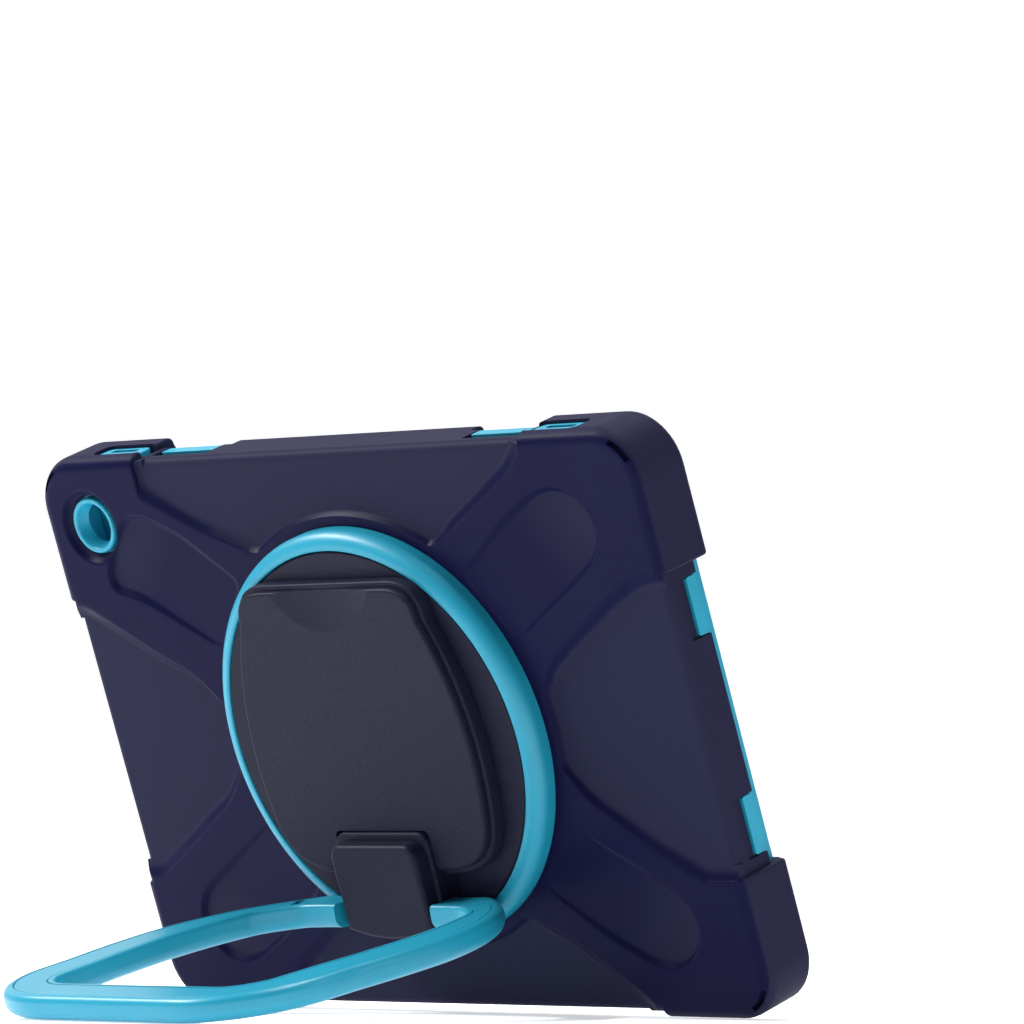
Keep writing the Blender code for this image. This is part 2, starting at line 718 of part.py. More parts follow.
hinge_cover = make(
    "hinge_cover",
    loft([
        level(block_outline(18.7, -29.3, 60.0, 4.0), HOUSING_TOP + GAP),
        level(block_outline(18.7, -29.3, 60.0, 4.0), BLOCK_TOP - 1.6),
        level(block_outline(17.3, -30.7, 58.6, 3.4), BLOCK_TOP),
    ]),
)
dress(hinge_cover, "graphite", disc_axis)

for number, (x, y) in enumerate(hinge_spots, 1):
    screw = make(
        f"hinge_screw_{number}",
        turned([(2.4, 1.4), (2.4, 2.9), (1.0, 2.9), (1.0, 10.6)], 16, (x, y)),
    )
    dress(screw, "steel", disc_axis)

pin = make("hinge_pin", along_x(prism(circle((AXIS_Y, AXIS_Z), PIN_R, 24), -33.0, 33.0)))
dress(pin, "steel", disc_axis)

for side, name in ((1, "hinge_washer_right"), (-1, "hinge_washer_left")):
    washer_points = tube([(PIN_R + RUN, 0.0), (3.6, 0.0), (3.6, 0.6), (PIN_R + RUN, 0.6)], 24)
    washer = make(name, shifted(along_x(washer_points), (20.45 if side > 0 else -21.05, AXIS_Y, AXIS_Z)))
    dress(washer, "washer", disc_axis)

# Ring handle, in the hinge's own frame: x along the pin, u away from it, t through its
# thickness. The flat side faces the case when folded and upwards when open.


def ring_stations():
    """Pairs of (outer point, inner point) from the right arm's end round to the tip's middle."""
    outer = [(21.35, -58.0), (25.0, -58.0), (30.0, -58.2)]
    outer += arc((0, 0), RING_R, -58.3, 0.0, 12)
    outer += [(68.2, 10.0), (67.3, 20.0), (66.0, 31.0)]
    outer += arc((29.5, RING_TIP - 36.0), 36.0, 3.0, 90.0, 9)
    outer += [(20.0, RING_TIP), (10.0, RING_TIP), (0.0, RING_TIP)]
    inner = [(21.35, -43.2), (25.0, -43.2), (28.0, -43.1)]
    angles = [-51.0 + 51.0 * i / 12 for i in range(13)]
    for angle in angles:
        a = math.radians(angle)
        y = 58.0 * math.sin(a)
        x = math.sqrt(110.5**2 - (y + 3.0) ** 2) - 59.5
        if y < -32.0:
            drop = (-32.0 - y) / 13.1
            x -= 12.5 * drop**1.7
        inner.append((x, max(y, -42.9)))
    inner += [(50.2, 10.0), (49.3, 20.0), (47.8, 31.0)]
    inner += arc((33.0, HOLE_TIP - 13.5), 13.5, 0.0, 90.0, 9)
    inner += [(22.0, HOLE_TIP), (11.0, HOLE_TIP), (0.0, HOLE_TIP)]
    return outer, inner


def ring_section(outer, inner, flat_outer, seat, steps=3):
    """The D-shaped section between two points, with the inlay's seat in its flat side."""
    out = Vector(outer)
    across = Vector(inner) - out
    width = across.length
    across.normalize()
    edge = max(flat_outer + 0.3, SEAT_MARGIN)
    shape = [(edge, FLAT + seat), (edge, FLAT)]
    shape += arc((flat_outer, FLAT + flat_outer), flat_outer, 270, 180, steps)
    shape += arc((4.0, ROUND - 4.0), 4.0, 180, 90, steps)
    shape += arc((width - 3.8, ROUND - 3.8), 3.8, 90, 0, steps)
    shape += arc((width - 1.4, FLAT + 1.4), 1.4, 0, -90, steps)
    shape += [(width - SEAT_INNER, FLAT), (width - SEAT_INNER, FLAT + seat)]
    return [(out.x + across.x * s, out.y + across.y * s - AXIS_Y, t) for s, t in shape]


def flat_fillet(outer_point):
    """The radius between the flat side and the outside: full at the arm's end, smaller beyond."""
    blend = min(1.0, max(0.0, (outer_point[1] + 50.0) / 12.0))
    return 3.8 + (2.6 - 3.8) * blend


outer_side, inner_side = ring_stations()
right_rings = []
for number, (outer_point, inner_point) in enumerate(zip(outer_side, inner_side)):
    round_low = flat_fillet(outer_point)
    seat_depth = SEAT_DEPTH if number >= SEAT_FIRST else 0.05
    right_rings.append(ring_section(outer_point, inner_point, round_low, seat_depth))
left_rings = [[(-x, u, t) for x, u, t in ring] for ring in right_rings[:-1]]
handle = make("handle_ring", loft(right_rings + left_rings[::-1]), split=True)
bore = circle((0.0, 0.0), PIN_R + RUN, 24)
handle_bore = helper("handle_bore", along_x(prism(bore, -33.5, 33.5)))
notch_tip = HOLE_TIP - AXIS_Y
notch_outline = [(-6.0, -12.6), (-2.8, -11.4), (-4.05, 22.0), (-6.0, 22.0)]
catch_notch = helper("catch_notch", along_y(prism(notch_outline, notch_tip - 3.0, notch_tip + 1.4)))
cut(handle, handle_bore, catch_notch)
handle_bore.parent = handle_axis
catch_notch.parent = handle_axis
dress(handle, "cyan", handle_axis)

inlay_rings = []
for outer_point, inner_point in zip(outer_side[SEAT_FIRST + 1:], inner_side[SEAT_FIRST + 1:]):
    out = Vector(outer_point)
    across = Vector(inner_point) - out
    width = across.length
    across.normalize()
    near = max(flat_fillet(outer_point) + 0.3, SEAT_MARGIN) + GAP
    far = width - SEAT_INNER - GAP
    low = FLAT + 0.1
    high = FLAT + SEAT_DEPTH - GAP
    corners = ((near, low), (near, high), (far, high), (far, low))
    inlay_rings.append([(out.x + across.x * s, out.y + across.y * s - AXIS_Y, t) for s, t in corners])
others = [[(-x, u, t) for x, u, t in ring] for ring in inlay_rings[:-1]]
inlay = make("handle_inlay", loft(inlay_rings + others[::-1]), split=True)
dress(inlay, "cyan", handle_axis)

for item in bpy.data.objects:
    if item.type == "MESH" and item.hide_render and item.parent is None:
        users = [other for other in bpy.data.objects for step in other.modifiers if step.object == item]
        if users and users[0].parent:
            item.parent = users[0].parent
for item in (guard_zone, lip_keep):
    item.parent = case_frame
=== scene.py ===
# %% [markdown]
# A rugged tablet case, built as its maker would: a rigid cyan tray and bezel, a navy silicone
# sleeve pulled over them, a swivel disc with a grip plate, and a ring handle that is the stand.
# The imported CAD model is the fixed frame. Each visible piece is modelled again round it with
# finer fillets, because moulded plastic and silicone have no sharp edge anywhere.

# %% Load the frame
import json
import math

import bmesh
import bpy
from mathutils import Matrix, Vector


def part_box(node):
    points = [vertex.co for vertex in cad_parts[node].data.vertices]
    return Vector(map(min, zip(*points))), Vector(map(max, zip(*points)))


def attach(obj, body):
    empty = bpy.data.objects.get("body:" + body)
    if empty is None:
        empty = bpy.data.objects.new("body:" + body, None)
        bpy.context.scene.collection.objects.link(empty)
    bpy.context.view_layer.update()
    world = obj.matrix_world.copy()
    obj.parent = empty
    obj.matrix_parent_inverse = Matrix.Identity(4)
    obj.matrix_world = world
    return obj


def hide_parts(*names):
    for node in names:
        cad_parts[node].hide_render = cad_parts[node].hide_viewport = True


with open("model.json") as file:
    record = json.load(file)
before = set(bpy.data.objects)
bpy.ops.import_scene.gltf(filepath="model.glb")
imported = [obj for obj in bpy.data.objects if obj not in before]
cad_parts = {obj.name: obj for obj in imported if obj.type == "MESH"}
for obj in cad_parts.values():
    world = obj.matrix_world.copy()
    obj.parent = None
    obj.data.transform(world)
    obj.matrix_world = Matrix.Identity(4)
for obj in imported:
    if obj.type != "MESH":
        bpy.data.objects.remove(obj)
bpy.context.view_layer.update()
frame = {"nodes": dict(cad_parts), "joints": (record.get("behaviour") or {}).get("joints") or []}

# %% [markdown]
# The case leans back on its handle, so modelling it in the room's axes would be awkward. Every
# piece is drawn in the case's own frame instead: X along the long side, Y up the short side, Z
# out of the back, in millimetres from the swivel's centre. The joints in the record say where
# that frame stands, so nothing has to be fitted by eye.

# %% Where the case and the handle stand
MM = 0.001
joints = {joint["name"]: joint for joint in frame["joints"]}
swivel_joint = joints["disc_swivel"]
fold_joint = joints["handle_fold"]
out_of_back = Vector(swivel_joint["axis"]).normalized()
along_case = Vector((1.0, 0.0, 0.0))
up_case = out_of_back.cross(along_case).normalized()
case_turn = Matrix((along_case, up_case, out_of_back)).transposed().to_4x4()
CASE = Matrix.Translation(swivel_joint["pos_m"]) @ case_turn
OPEN_ANGLE = -math.radians(fold_joint["range_deg"][0])
hinge_local = CASE.inverted() @ Vector(fold_joint["pos_m"])
AXIS_Y = hinge_local.y / MM
AXIS_Z = hinge_local.z / MM
HANDLE = CASE @ Matrix.Translation(hinge_local) @ Matrix.Rotation(OPEN_ANGLE, 4, "X")
lean = math.degrees(math.atan2(-out_of_back.z, -out_of_back.y))
print("lean", round(lean, 2), "hinge", round(AXIS_Y, 2), round(AXIS_Z, 2))

# %% [markdown]
# Outlines are plain lists of points. A rounded rectangle, a circle and a polygon whose corners
# are eased with a short curve make every flat shape on this case.

# %% Outlines
MOST_OF_EDGE = 0.45
SHARPEST = 0.6


def arc(centre, radius, start, end, count):
    points = []
    for step in range(count + 1):
        angle = math.radians(start + (end - start) * step / count)
        points.append((centre[0] + radius * math.cos(angle), centre[1] + radius * math.sin(angle)))
    return points


def circle(centre, radius, count=96):
    return arc(centre, radius, 0.0, 360.0, count)[:-1]


def rounded_rect(half, radius, count=14, centre=(0.0, 0.0)):
    points = []
    for sx, sy, start in ((1, 1, 0), (-1, 1, 90), (-1, -1, 180), (1, -1, 270)):
        middle = (centre[0] + sx * (half[0] - radius), centre[1] + sy * (half[1] - radius))
        points += arc(middle, max(radius, 0.01), start, start + 90, count)
    return points


def bend(start, middle, end, t):
    """Where t is on the short curve that leaves start for middle and arrives at end."""
    return start * (1 - t) ** 2 + middle * 2 * t * (1 - t) + end * t**2


def eased(corners, reach, count=5):
    """Each corner (x, y, width) becomes a short curve; its width goes with its points."""
    points = []
    total = len(corners)
    for i, (x, y, width) in enumerate(corners):
        here = Vector((x, y))
        before = Vector(corners[i - 1][:2]) - here
        after = Vector(corners[(i + 1) % total][:2]) - here
        start = here + before.normalized() * min(reach, before.length * MOST_OF_EDGE)
        end = here + after.normalized() * min(reach, after.length * MOST_OF_EDGE)
        for step in range(count + 1):
            spot = bend(start, here, end, step / count)
            points.append((spot.x, spot.y, width))
    return points


def inset(outline, share=1.0, extra=0.0):
    """The outline moved inwards by a share of each point's own width, plus extra."""
    count = len(outline)
    moved = []
    for i, (x, y, width) in enumerate(outline):
        before = (Vector((x, y)) - Vector(outline[i - 1][:2])).normalized()
        after = (Vector(outline[(i + 1) % count][:2]) - Vector((x, y))).normalized()
        normal = Vector((-before.y - after.y, before.x + after.x)).normalized()
        spread = max(SHARPEST, normal.dot(Vector((-before.y, before.x))))
        reach = (width * share + extra) / spread
        moved.append((x + normal.x * reach, y + normal.y * reach))
    return moved


def level(outline, z):
    return [(point[0], point[1], z) for point in outline]


def mirrored(outline, flip_x, flip_y):
    points = [(-p[0] if flip_x else p[0], -p[1] if flip_y else p[1], *p[2:]) for p in outline]
    return points[::-1] if flip_x != flip_y else points


print("a quarter circle", [tuple(round(v, 2) for v in p) for p in arc((0, 0), 1.0, 0, 90, 2)])

# %% [markdown]
# Most pieces are one outline pulled through a few levels, as you would by hand: add a filled
# circle, drag its corners onto the outline, then extrude the face again and again and drag each
# new rim to its own level. Round pieces are a section spun about the swivel's axis.

# %% Pulling an outline through levels
def deselect():
    if bpy.context.mode != "OBJECT":
        bpy.ops.object.mode_set(mode="OBJECT")
    bpy.ops.object.select_all(action="DESELECT")


def key(point):
    return tuple(round(value * 1e7) for value in point)


def pulled(name, rings):
    """A closed solid through rings of equal count."""
    deselect()
    bpy.ops.mesh.primitive_circle_add(vertices=len(rings[0]), radius=0.01, fill_type="NGON")
    piece = bpy.context.object
    piece.name = name
    bpy.ops.object.mode_set(mode="EDIT")
    bpy.ops.mesh.select_mode(type="FACE")
    shape = bmesh.from_edit_mesh(piece.data)
    shape.verts.ensure_lookup_table()
    rim = {}
    for vert, point in zip(shape.verts, rings[0]):
        vert.co = Vector(point) * MM
        rim[key(vert.co)] = len(rim)
    for ring in rings[1:]:
        bmesh.update_edit_mesh(piece.data)
        bpy.ops.mesh.extrude_region_move()
        shape = bmesh.from_edit_mesh(piece.data)
        fresh = [vert for vert in shape.verts if vert.select]
        places = [rim[key(vert.co)] for vert in fresh]
        rim = {}
        for vert, place in zip(fresh, places):
            vert.co = Vector(ring[place]) * MM
            rim[key(vert.co)] = place
    bmesh.update_edit_mesh(piece.data)
    bpy.ops.mesh.select_all(action="SELECT")
    bpy.ops.mesh.normals_make_consistent(inside=False)
    bpy.ops.object.mode_set(mode="OBJECT")
    return piece


def prism(name, outline, z0, z1):
    return pulled(name, [level(outline, z0), level(outline, z1)])


def spun(name, section, steps):
    """A closed (radius, z) section spun about the swivel's axis."""
    deselect()
    bpy.ops.mesh.primitive_circle_add(vertices=len(section), radius=0.01, fill_type="NOTHING")
    piece = bpy.context.object
    piece.name = name
    bpy.ops.object.mode_set(mode="EDIT")
    shape = bmesh.from_edit_mesh(piece.data)
    for vert, (radius, z) in zip(shape.verts, section):
        vert.co = Vector((radius, 0.0, z)) * MM
    bmesh.update_edit_mesh(piece.data)
    bpy.ops.mesh.select_all(action="SELECT")
    bpy.ops.mesh.spin(steps=steps, angle=math.tau, center=(0, 0, 0), axis=(0, 0, 1))
    bpy.ops.mesh.select_all(action="SELECT")
    bpy.ops.mesh.remove_doubles(threshold=1e-6)
    bpy.ops.mesh.normals_make_consistent(inside=False)
    bpy.ops.object.mode_set(mode="OBJECT")
    return piece


# %% [markdown]
# Fillets are rings too: a quarter circle of small steps between the side and the face. TO_X and
# TO_Y turn a prism that was drawn flat, for holes in the case's edges.

# %% Fillets, sideways holes and Booleans
def fillet_levels(outline_at, z0, z1, low, high, steps=6):
    """Rings of a prism from z0 to z1 with filleted rims; outline_at(inset) gives the outline."""
    rings = []
    for step in range(steps + 1 if low else 1):
        angle = 0.5 * math.pi * step / steps
        back = low * (1 - math.sin(angle))
        rings.append(level(outline_at(back), z0 + low * (1 - math.cos(angle))))
    for step in range(steps + 1 if high else 1):
        angle = 0.5 * math.pi * step / steps
        back = high * (1 - math.cos(angle))
        rings.append(level(outline_at(back), z1 - high * (1 - math.sin(angle))))
    return rings


def rect_at(half, radius, count=14, centre=(0.0, 0.0)):
    def at(back):
        return rounded_rect((half[0] - back, half[1] - back), radius - back, count, centre)
    return at


def circle_at(radius, count):
    def at(back):
        return circle((0, 0), radius - back, count)
    return at


def block(name, half, radius, z0, z1, low, high, steps=6):
    return pulled(name, fillet_levels(rect_at(half, radius), z0, z1, low, high, steps))


def turned_mesh(piece, matrix):
    piece.data.transform(matrix)
    return piece


TO_X = Matrix(((0, 0, 1, 0), (1, 0, 0, 0), (0, 1, 0, 0), (0, 0, 0, 1)))
TO_Y = Matrix(((0, 1, 0, 0), (0, 0, 1, 0), (1, 0, 0, 0), (0, 0, 0, 1)))


def boolean(target, other, operation="DIFFERENCE"):
    deselect()
    step = target.modifiers.new("step", "BOOLEAN")
    step.operation = operation
    step.solver = "EXACT"
    step.object = other
    bpy.context.view_layer.objects.active = target
    target.select_set(True)
    bpy.ops.object.modifier_apply(modifier=step.name)
    bpy.data.objects.remove(other, do_unlink=True)


def cut(target, *others):
    for other in others:
        boolean(target, other)


def unite(target, *others):
    for other in others:
        boolean(target, other, "UNION")


print("a fillet has", len(fillet_levels(circle_at(5.0, 8), 0.0, 2.0, 0.0, 1.0)), "rings")

# %% [markdown]
# Shader sums read better as sums. A Signal is a socket that takes part in Python expressions,
# and a Finish is one Principled material with a single method for every other node. Patterns
# use Object coordinates, so they stay on the piece as it swings.

# %% Finishes
class Signal:
    def __init__(self, finish, socket):
        self.finish = finish
        self.socket = socket

    def __add__(self, other):
        return self.finish.maths("ADD", self, other)

    __radd__ = __add__

    def __sub__(self, other):
        return self.finish.maths("SUBTRACT", self, other)

    def __rsub__(self, other):
        return self.finish.maths("SUBTRACT", other, self)

    def __mul__(self, other):
        return self.finish.maths("MULTIPLY", self, other)

    __rmul__ = __mul__


class Finish:
    def __init__(self, name, **constants):
        self.material = bpy.data.materials.new(name)
        self.material.use_nodes = True
        self.tree = self.material.node_tree
        self.shader = self.tree.nodes["Principled BSDF"]
        for label, value in constants.items():
            self.shader.inputs[label.replace("_", " ")].default_value = value
        self.place = self.node("TexCoord", out="Object")

    def node(self, kind, settings=None, out=0, **inputs):
        made = self.tree.nodes.new("ShaderNode" + kind)
        for label, value in (settings or {}).items():
            setattr(made, label, value)
        for label, value in inputs.items():
            spot = made.inputs[int(label[1:]) if label[0] == "_" else label]
            if isinstance(value, Signal):
                self.tree.links.new(value.socket, spot)
            else:
                spot.default_value = value
        return Signal(self, made.outputs[out])

    def maths(self, operation, first, second):
        return self.node("Math", {"operation": operation}, _0=first, _1=second)

    def noise(self, scale, detail=2.0):
        return self.node("TexNoise", None, 0, Vector=self.place, Scale=scale, Detail=detail)

    def ramp(self, value, low, high):
        return self.node("MapRange", None, 0, _0=value, _1=low, _2=high)

    def blend(self, amount, first, second):
        settings = {"data_type": "RGBA"}
        return self.node("Mix", settings, 2, _0=amount, _6=first, _7=second)

    def feed(self, **signals):
        for label, value in signals.items():
            self.tree.links.new(value.socket, self.shader.inputs[label.replace("_", " ")])

    def bump(self, height, strength, distance):
        return self.node("Bump", None, 0, Strength=strength, Distance=distance, Height=height)


def height_over_back(finish):
    """How far a point stands out of the back, in metres from the sleeve's raised surface."""
    settings = {"operation": "DOT_PRODUCT"}
    along = finish.node("VectorMath", settings, "Value", _0=finish.place, _1=tuple(out_of_back))
    return along - out_of_back.dot(Vector(swivel_joint["pos_m"]))


# %% [markdown]
# The sleeve is satin silicone. Its raised arms and guards are smooth, and the low panels carry a
# fine spark texture that looks a shade lighter, so the panel mask comes from the height.

# %% Navy silicone
NAVY = (0.0052, 0.0052, 0.0330, 1.0)
NAVY_LIGHT = (0.0070, 0.0070, 0.0380, 1.0)
NAVY_PANEL = (0.0175, 0.0180, 0.0460, 1.0)
navy = Finish("navy_silicone", Roughness=0.5, IOR=1.46, Specular_IOR_Level=0.05)
cloud = navy.noise(22.0, 3.0)
panel = navy.ramp(height_over_back(navy), -0.0012, -0.0020)
skin = navy.blend(navy.ramp(cloud, 0.35, 0.7), NAVY, NAVY_LIGHT)
navy.feed(Base_Color=navy.blend(panel, skin, NAVY_PANEL))
navy.feed(Roughness=0.36 + 0.08 * cloud + 0.16 * panel)
grain = navy.noise(1500.0, 2.0)
spark = navy.noise(2600.0, 1.0)
navy.feed(Normal=navy.bump(grain * (1 - panel) * 0.4 + spark * panel, 0.35, 0.00006))
print(navy.material.name, "nodes", len(navy.tree.nodes))

# %% [markdown]
# The cyan parts are moulded ABS with a soft gloss: almost no texture, a slow change of shade
# where the melt cooled, and a faint orange-peel in the reflections.

# %% Cyan plastic
CYAN = (0.0150, 0.3200, 0.4700, 1.0)
CYAN_DEEP = (0.0110, 0.2900, 0.4350, 1.0)


def cyan_plastic(name, rough):
    made = Finish(name, Roughness=rough, IOR=1.5, Specular_IOR_Level=0.4)
    flow = made.noise(16.0, 2.0)
    made.feed(Base_Color=made.blend(made.ramp(flow, 0.35, 0.65), CYAN, CYAN_DEEP))
    made.feed(Roughness=(rough - 0.04) + 0.08 * flow)
    made.feed(Normal=made.bump(made.noise(700.0, 2.0), 0.12, 0.00004))
    return made


cyan = cyan_plastic("cyan_plastic", 0.40)
handle_cyan = cyan_plastic("cyan_handle_plastic", 0.36)
print(cyan.material.name, "and", handle_cyan.material.name, "nodes", len(cyan.tree.nodes))

# %% [markdown]
# The disc, plate and hinge block are a graphite plastic with a fine spark texture. A shallow
# bump of two noise sizes gives the grain, and the roughness varies with it.

# %% Graphite plastic
GRAPHITE = (0.0070, 0.0080, 0.0230, 1.0)
GRAPHITE_LIGHT = (0.0180, 0.0190, 0.0390, 1.0)
graphite = Finish("graphite_plastic", Roughness=0.5, IOR=1.5, Specular_IOR_Level=0.11)
fine = graphite.noise(2200.0, 2.0)
coarse = graphite.noise(900.0, 2.0)
graphite.feed(Base_Color=graphite.blend(graphite.ramp(fine, 0.3, 0.75), GRAPHITE, GRAPHITE_LIGHT))
graphite.feed(Roughness=0.42 + 0.16 * coarse)
graphite.feed(Normal=graphite.bump(fine * 0.6 + coarse * 0.4, 0.45, 0.00007))
print(graphite.material.name, "nodes", len(graphite.tree.nodes))

# %% [markdown]
# Steel pins and screws and rubber washers are mostly hidden, but they show in the exploded
# views and inside the tray, so they get a brushed and a matte finish of their own.

# %% Steel and washer rubber
steel = Finish("brushed_steel", Metallic=1.0, Roughness=0.3)
brushed = steel.noise(1200.0, 4.0)
steel.feed(Base_Color=steel.blend(brushed, (0.50, 0.51, 0.53, 1), (0.62, 0.63, 0.65, 1)))
steel.feed(Roughness=0.22 + 0.2 * brushed)
washer = Finish("washer_rubber", Roughness=0.7)
speck = washer.noise(1800.0, 2.0)
washer.feed(Base_Color=washer.blend(speck, (0.018, 0.018, 0.020, 1), (0.03, 0.03, 0.032, 1)))
washer.feed(Roughness=0.6 + 0.2 * speck)
print(steel.material.name, "and", washer.material.name, "nodes", len(steel.tree.nodes))

# %% [markdown]
# Finishing a piece is always the same: put its mesh in its place in the room, smooth every edge
# gentler than 34 degrees, let big flat faces rule the shading, and say what it rides on.

# %% Finishing a piece
SMOOTH_UNDER = math.radians(34.0)
FACE_WEIGHT = 80


def settle(piece, where, finish, body, slot, *nodes):
    deselect()
    piece.data.transform(where)
    piece.data.update()
    piece.data.materials.clear()
    piece.data.materials.append(finish.material)
    bpy.context.view_layer.objects.active = piece
    piece.select_set(True)
    bpy.ops.object.shade_smooth_by_angle(angle=SMOOTH_UNDER)
    weighted = piece.modifiers.new("weighted", "WEIGHTED_NORMAL")
    weighted.keep_sharp = True
    weighted.weight = FACE_WEIGHT
    bpy.ops.object.modifier_apply(modifier=weighted.name)
    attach(piece, body)
    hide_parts(*nodes)
    low_corner = [round(value, 3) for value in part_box(nodes[0])[0]]
    print(piece.name, "faces", len(piece.data.polygons), "for", nodes, "from", low_corner)


# %% [markdown]
# The sleeve starts as a thin wall round the tray. The four guards are a thicker block kept only
# at the corners, and a small bevel rounds their ends over.

# %% Sleeve: wall and guards
WALL = (131.4, 91.4)
WALL_R = 15.1
GUARD = (133.5, 93.5)
GUARD_R = 17.2
LIP_FRONT = -20.5
GUARD_X = 85.6
GUARD_Y = {(1, 1): 48.0, (-1, 1): 46.0, (-1, -1): 50.0, (1, -1): 48.0}
PANEL_FLOOR = -2.2
OUTSIDE = 150.0
CORNERS = [(sx, sy) for sx in (1, -1) for sy in (1, -1)]

sleeve = block("sleeve", WALL, WALL_R, LIP_FRONT, PANEL_FLOOR, 1.9, 3.0)
for (sx, sy), low_y in GUARD_Y.items():
    guard = block("guard", GUARD, GUARD_R, LIP_FRONT, 0.0, 2.2, 4.7)
    half = ((OUTSIDE - GUARD_X) / 2, (OUTSIDE - low_y) / 2)
    centre = (sx * (GUARD_X + half[0]), sy * (low_y + half[1]))
    zone = prism("zone", rounded_rect(half, 1.0, 2, centre), -40, 20)
    boolean(guard, zone, "INTERSECT")
    guard.select_set(True)
    soft = guard.modifiers.new("soft", "BEVEL")
    soft.width = 0.9 * MM
    soft.segments = 4
    soft.angle_limit = math.radians(55)
    bpy.ops.object.modifier_apply(modifier=soft.name)
    unite(sleeve, guard)
print("wall and guards", len(sleeve.data.polygons))

# %% [markdown]
# The raised X on the back is a layer with the four panels taken out of it. Each panel's rim is a
# slope, wide at the case's edge and tight at the ring, so every corner carries its own width.

# %% Sleeve: the raised X and its panels
RIM_R = 70.7


def along_rim(start, end, count, width=1.6):
    return [(x, y, width) for x, y in arc((0, 0), RIM_R, start, end, count)]


TOP_PANEL = [
    (87.6, 90, 4.5), (87.6, 104, 4.5), (-88, 104, 4.5), (-88, 90, 4.5), (-88.3, 82.5, 4.5),
    (-85.4, 79.1, 4.0), (-61.7, 67.7, 3.2), *along_rim(123.2, 56.8, 16), (54.6, 67.8, 3.2),
    (75.9, 79.7, 4.0), (81.8, 83.3, 4.5),
]
BOTTOM_PANEL = [
    (-85, -89, 4.5), (-85, -104, 4.5), (85, -104, 4.5), (85, -89, 4.5), (78.6, -83.5, 4.5),
    (65, -73.3, 4.0), (51, -65, 3.0), *along_rim(-57.7, -122.3, 16), (-51, -65, 3.0),
    (-65, -73.3, 4.0), (-78.6, -83.5, 4.5),
]
LEFT_PANEL = [
    (-126, 45.4, 4.5), (-145, 45.4, 4.5), (-145, -48.2, 4.5), (-123.5, -48.2, 4.5),
    (-100.6, -34.4, 4.0), (-80.6, -21.6, 3.2), (-74.2, -13.2, 2.2),
    *along_rim(187.0, 173.5, 4, 1.5), (-78.6, 17, 2.2), (-83.9, 21.6, 2.8), (-95.8, 27.5, 3.5),
]
RIGHT_PANEL = [
    (120, -49.2, 4.5), (145, -49.2, 4.5), (145, 49, 4.5), (130, 49, 4.5), (119, 47.6, 4.5),
    (104, 39.5, 4.0), (82.4, 25.8, 3.2), (75, 20, 2.4), *along_rim(9.3, -9.7, 5),
    (76.5, -21.8, 2.4), (95, -35.6, 3.6), (115.5, -48.3, 4.5),
]
# Share of the slope's width, extra inset, and height of each ring of a panel's rim.
RIM = [
    (1.0, 0.9, PANEL_FLOOR - 2.3), (1.0, 0.9, PANEL_FLOOR - 0.003), (1.0, 0.4, -2.16),
    (0.93, 0.0, -2.02), (0.82, 0.0, -1.80), (0.18, 0.0, -0.40), (0.07, 0.0, -0.18),
    (0.0, -0.4, -0.045), (0.0, -0.9, 0.003), (0.0, -0.9, 3.0),
]
arms = block("arms", WALL, WALL_R, -3.9, 0.0, 0.0, 3.5)
for corners in (TOP_PANEL, BOTTOM_PANEL, LEFT_PANEL, RIGHT_PANEL):
    outline = eased(corners, 4.5)
    rings = [level(inset(outline, share, extra), z) for share, extra, z in RIM]
    boolean(arms, pulled("panel", rings))
unite(sleeve, arms)
print("with the raised X", len(sleeve.data.polygons))

# %% [markdown]
# Each arm has a long shallow pocket. Its floor climbs towards the swivel until it fades out, so
# the cutter's floor is a tilted plane, and its rim is eased like the panels'.

# %% Sleeve: pockets in the arms
ARM_POCKET = [
    (65.6, 28.6, 1.0), (98.3, 47.5, 1.8), (106, 53, 1.8), (110, 59.7, 1.8), (109.4, 67.6, 1.8),
    (103.5, 74.6, 1.8), (95.2, 77.1, 1.8), (87, 75.5, 1.8), (71.5, 67.3, 1.8), (49, 50.4, 1.0),
]
CAMERA_POCKET = [
    (65.6, 28.6, 1.0), (98.3, 46.0, 1.8), (108.5, 48.5, 1.8), (110.7, 53, 1.8), (108, 60, 1.8),
    (99, 71, 1.8), (94, 74, 1.8), (87, 74.2, 1.8), (71.5, 67.3, 1.8), (49, 50.4, 1.0),
]
# Share of the slope's width, extra inset, and share of the floor's depth of each ring.
POCKET_RIM = [
    (1.0, 0.6, 1.0), (1.0, 0.2, 0.96), (0.8, 0.0, 0.82), (0.2, 0.0, 0.18), (0.0, -0.2, 0.04),
    (0.0, -0.6, -0.001), (0.0, -0.6, None),
]
POCKET_TOP = 2.0
FADE_START, FADE_RUN = 68.0, 55.0
FADE_FLOOR, FADE_FALL = -0.2, -1.75


def pocket(corners, flip_x, flip_y):
    outline = eased(mirrored(corners, flip_x, flip_y), 5.0)
    rings = []
    for share, extra, depth in POCKET_RIM:
        ring = []
        for x, y in inset(outline, share, extra):
            along = (abs(x) * 0.8 + abs(y) * 0.6 - FADE_START) / FADE_RUN
            floor = FADE_FLOOR + FADE_FALL * along
            ring.append((x, y, POCKET_TOP if depth is None else floor * depth))
        rings.append(ring)
    return pulled("pocket", rings)


cut(sleeve, pocket(ARM_POCKET, False, False), pocket(CAMERA_POCKET, True, False))
cut(sleeve, pocket(ARM_POCKET, True, True), pocket(ARM_POCKET, False, True))
print("with the pockets", len(sleeve.data.polygons))

# %% [markdown]
# Now the sleeve is hollowed. The tray fills the hollow with 0.3 mm to spare. The lips stay only
# on the guards and the middles of the long sides. Between them are gaps and windows for the
# tray's cyan tabs. The holes for the camera, the ports and the lanyard go last.

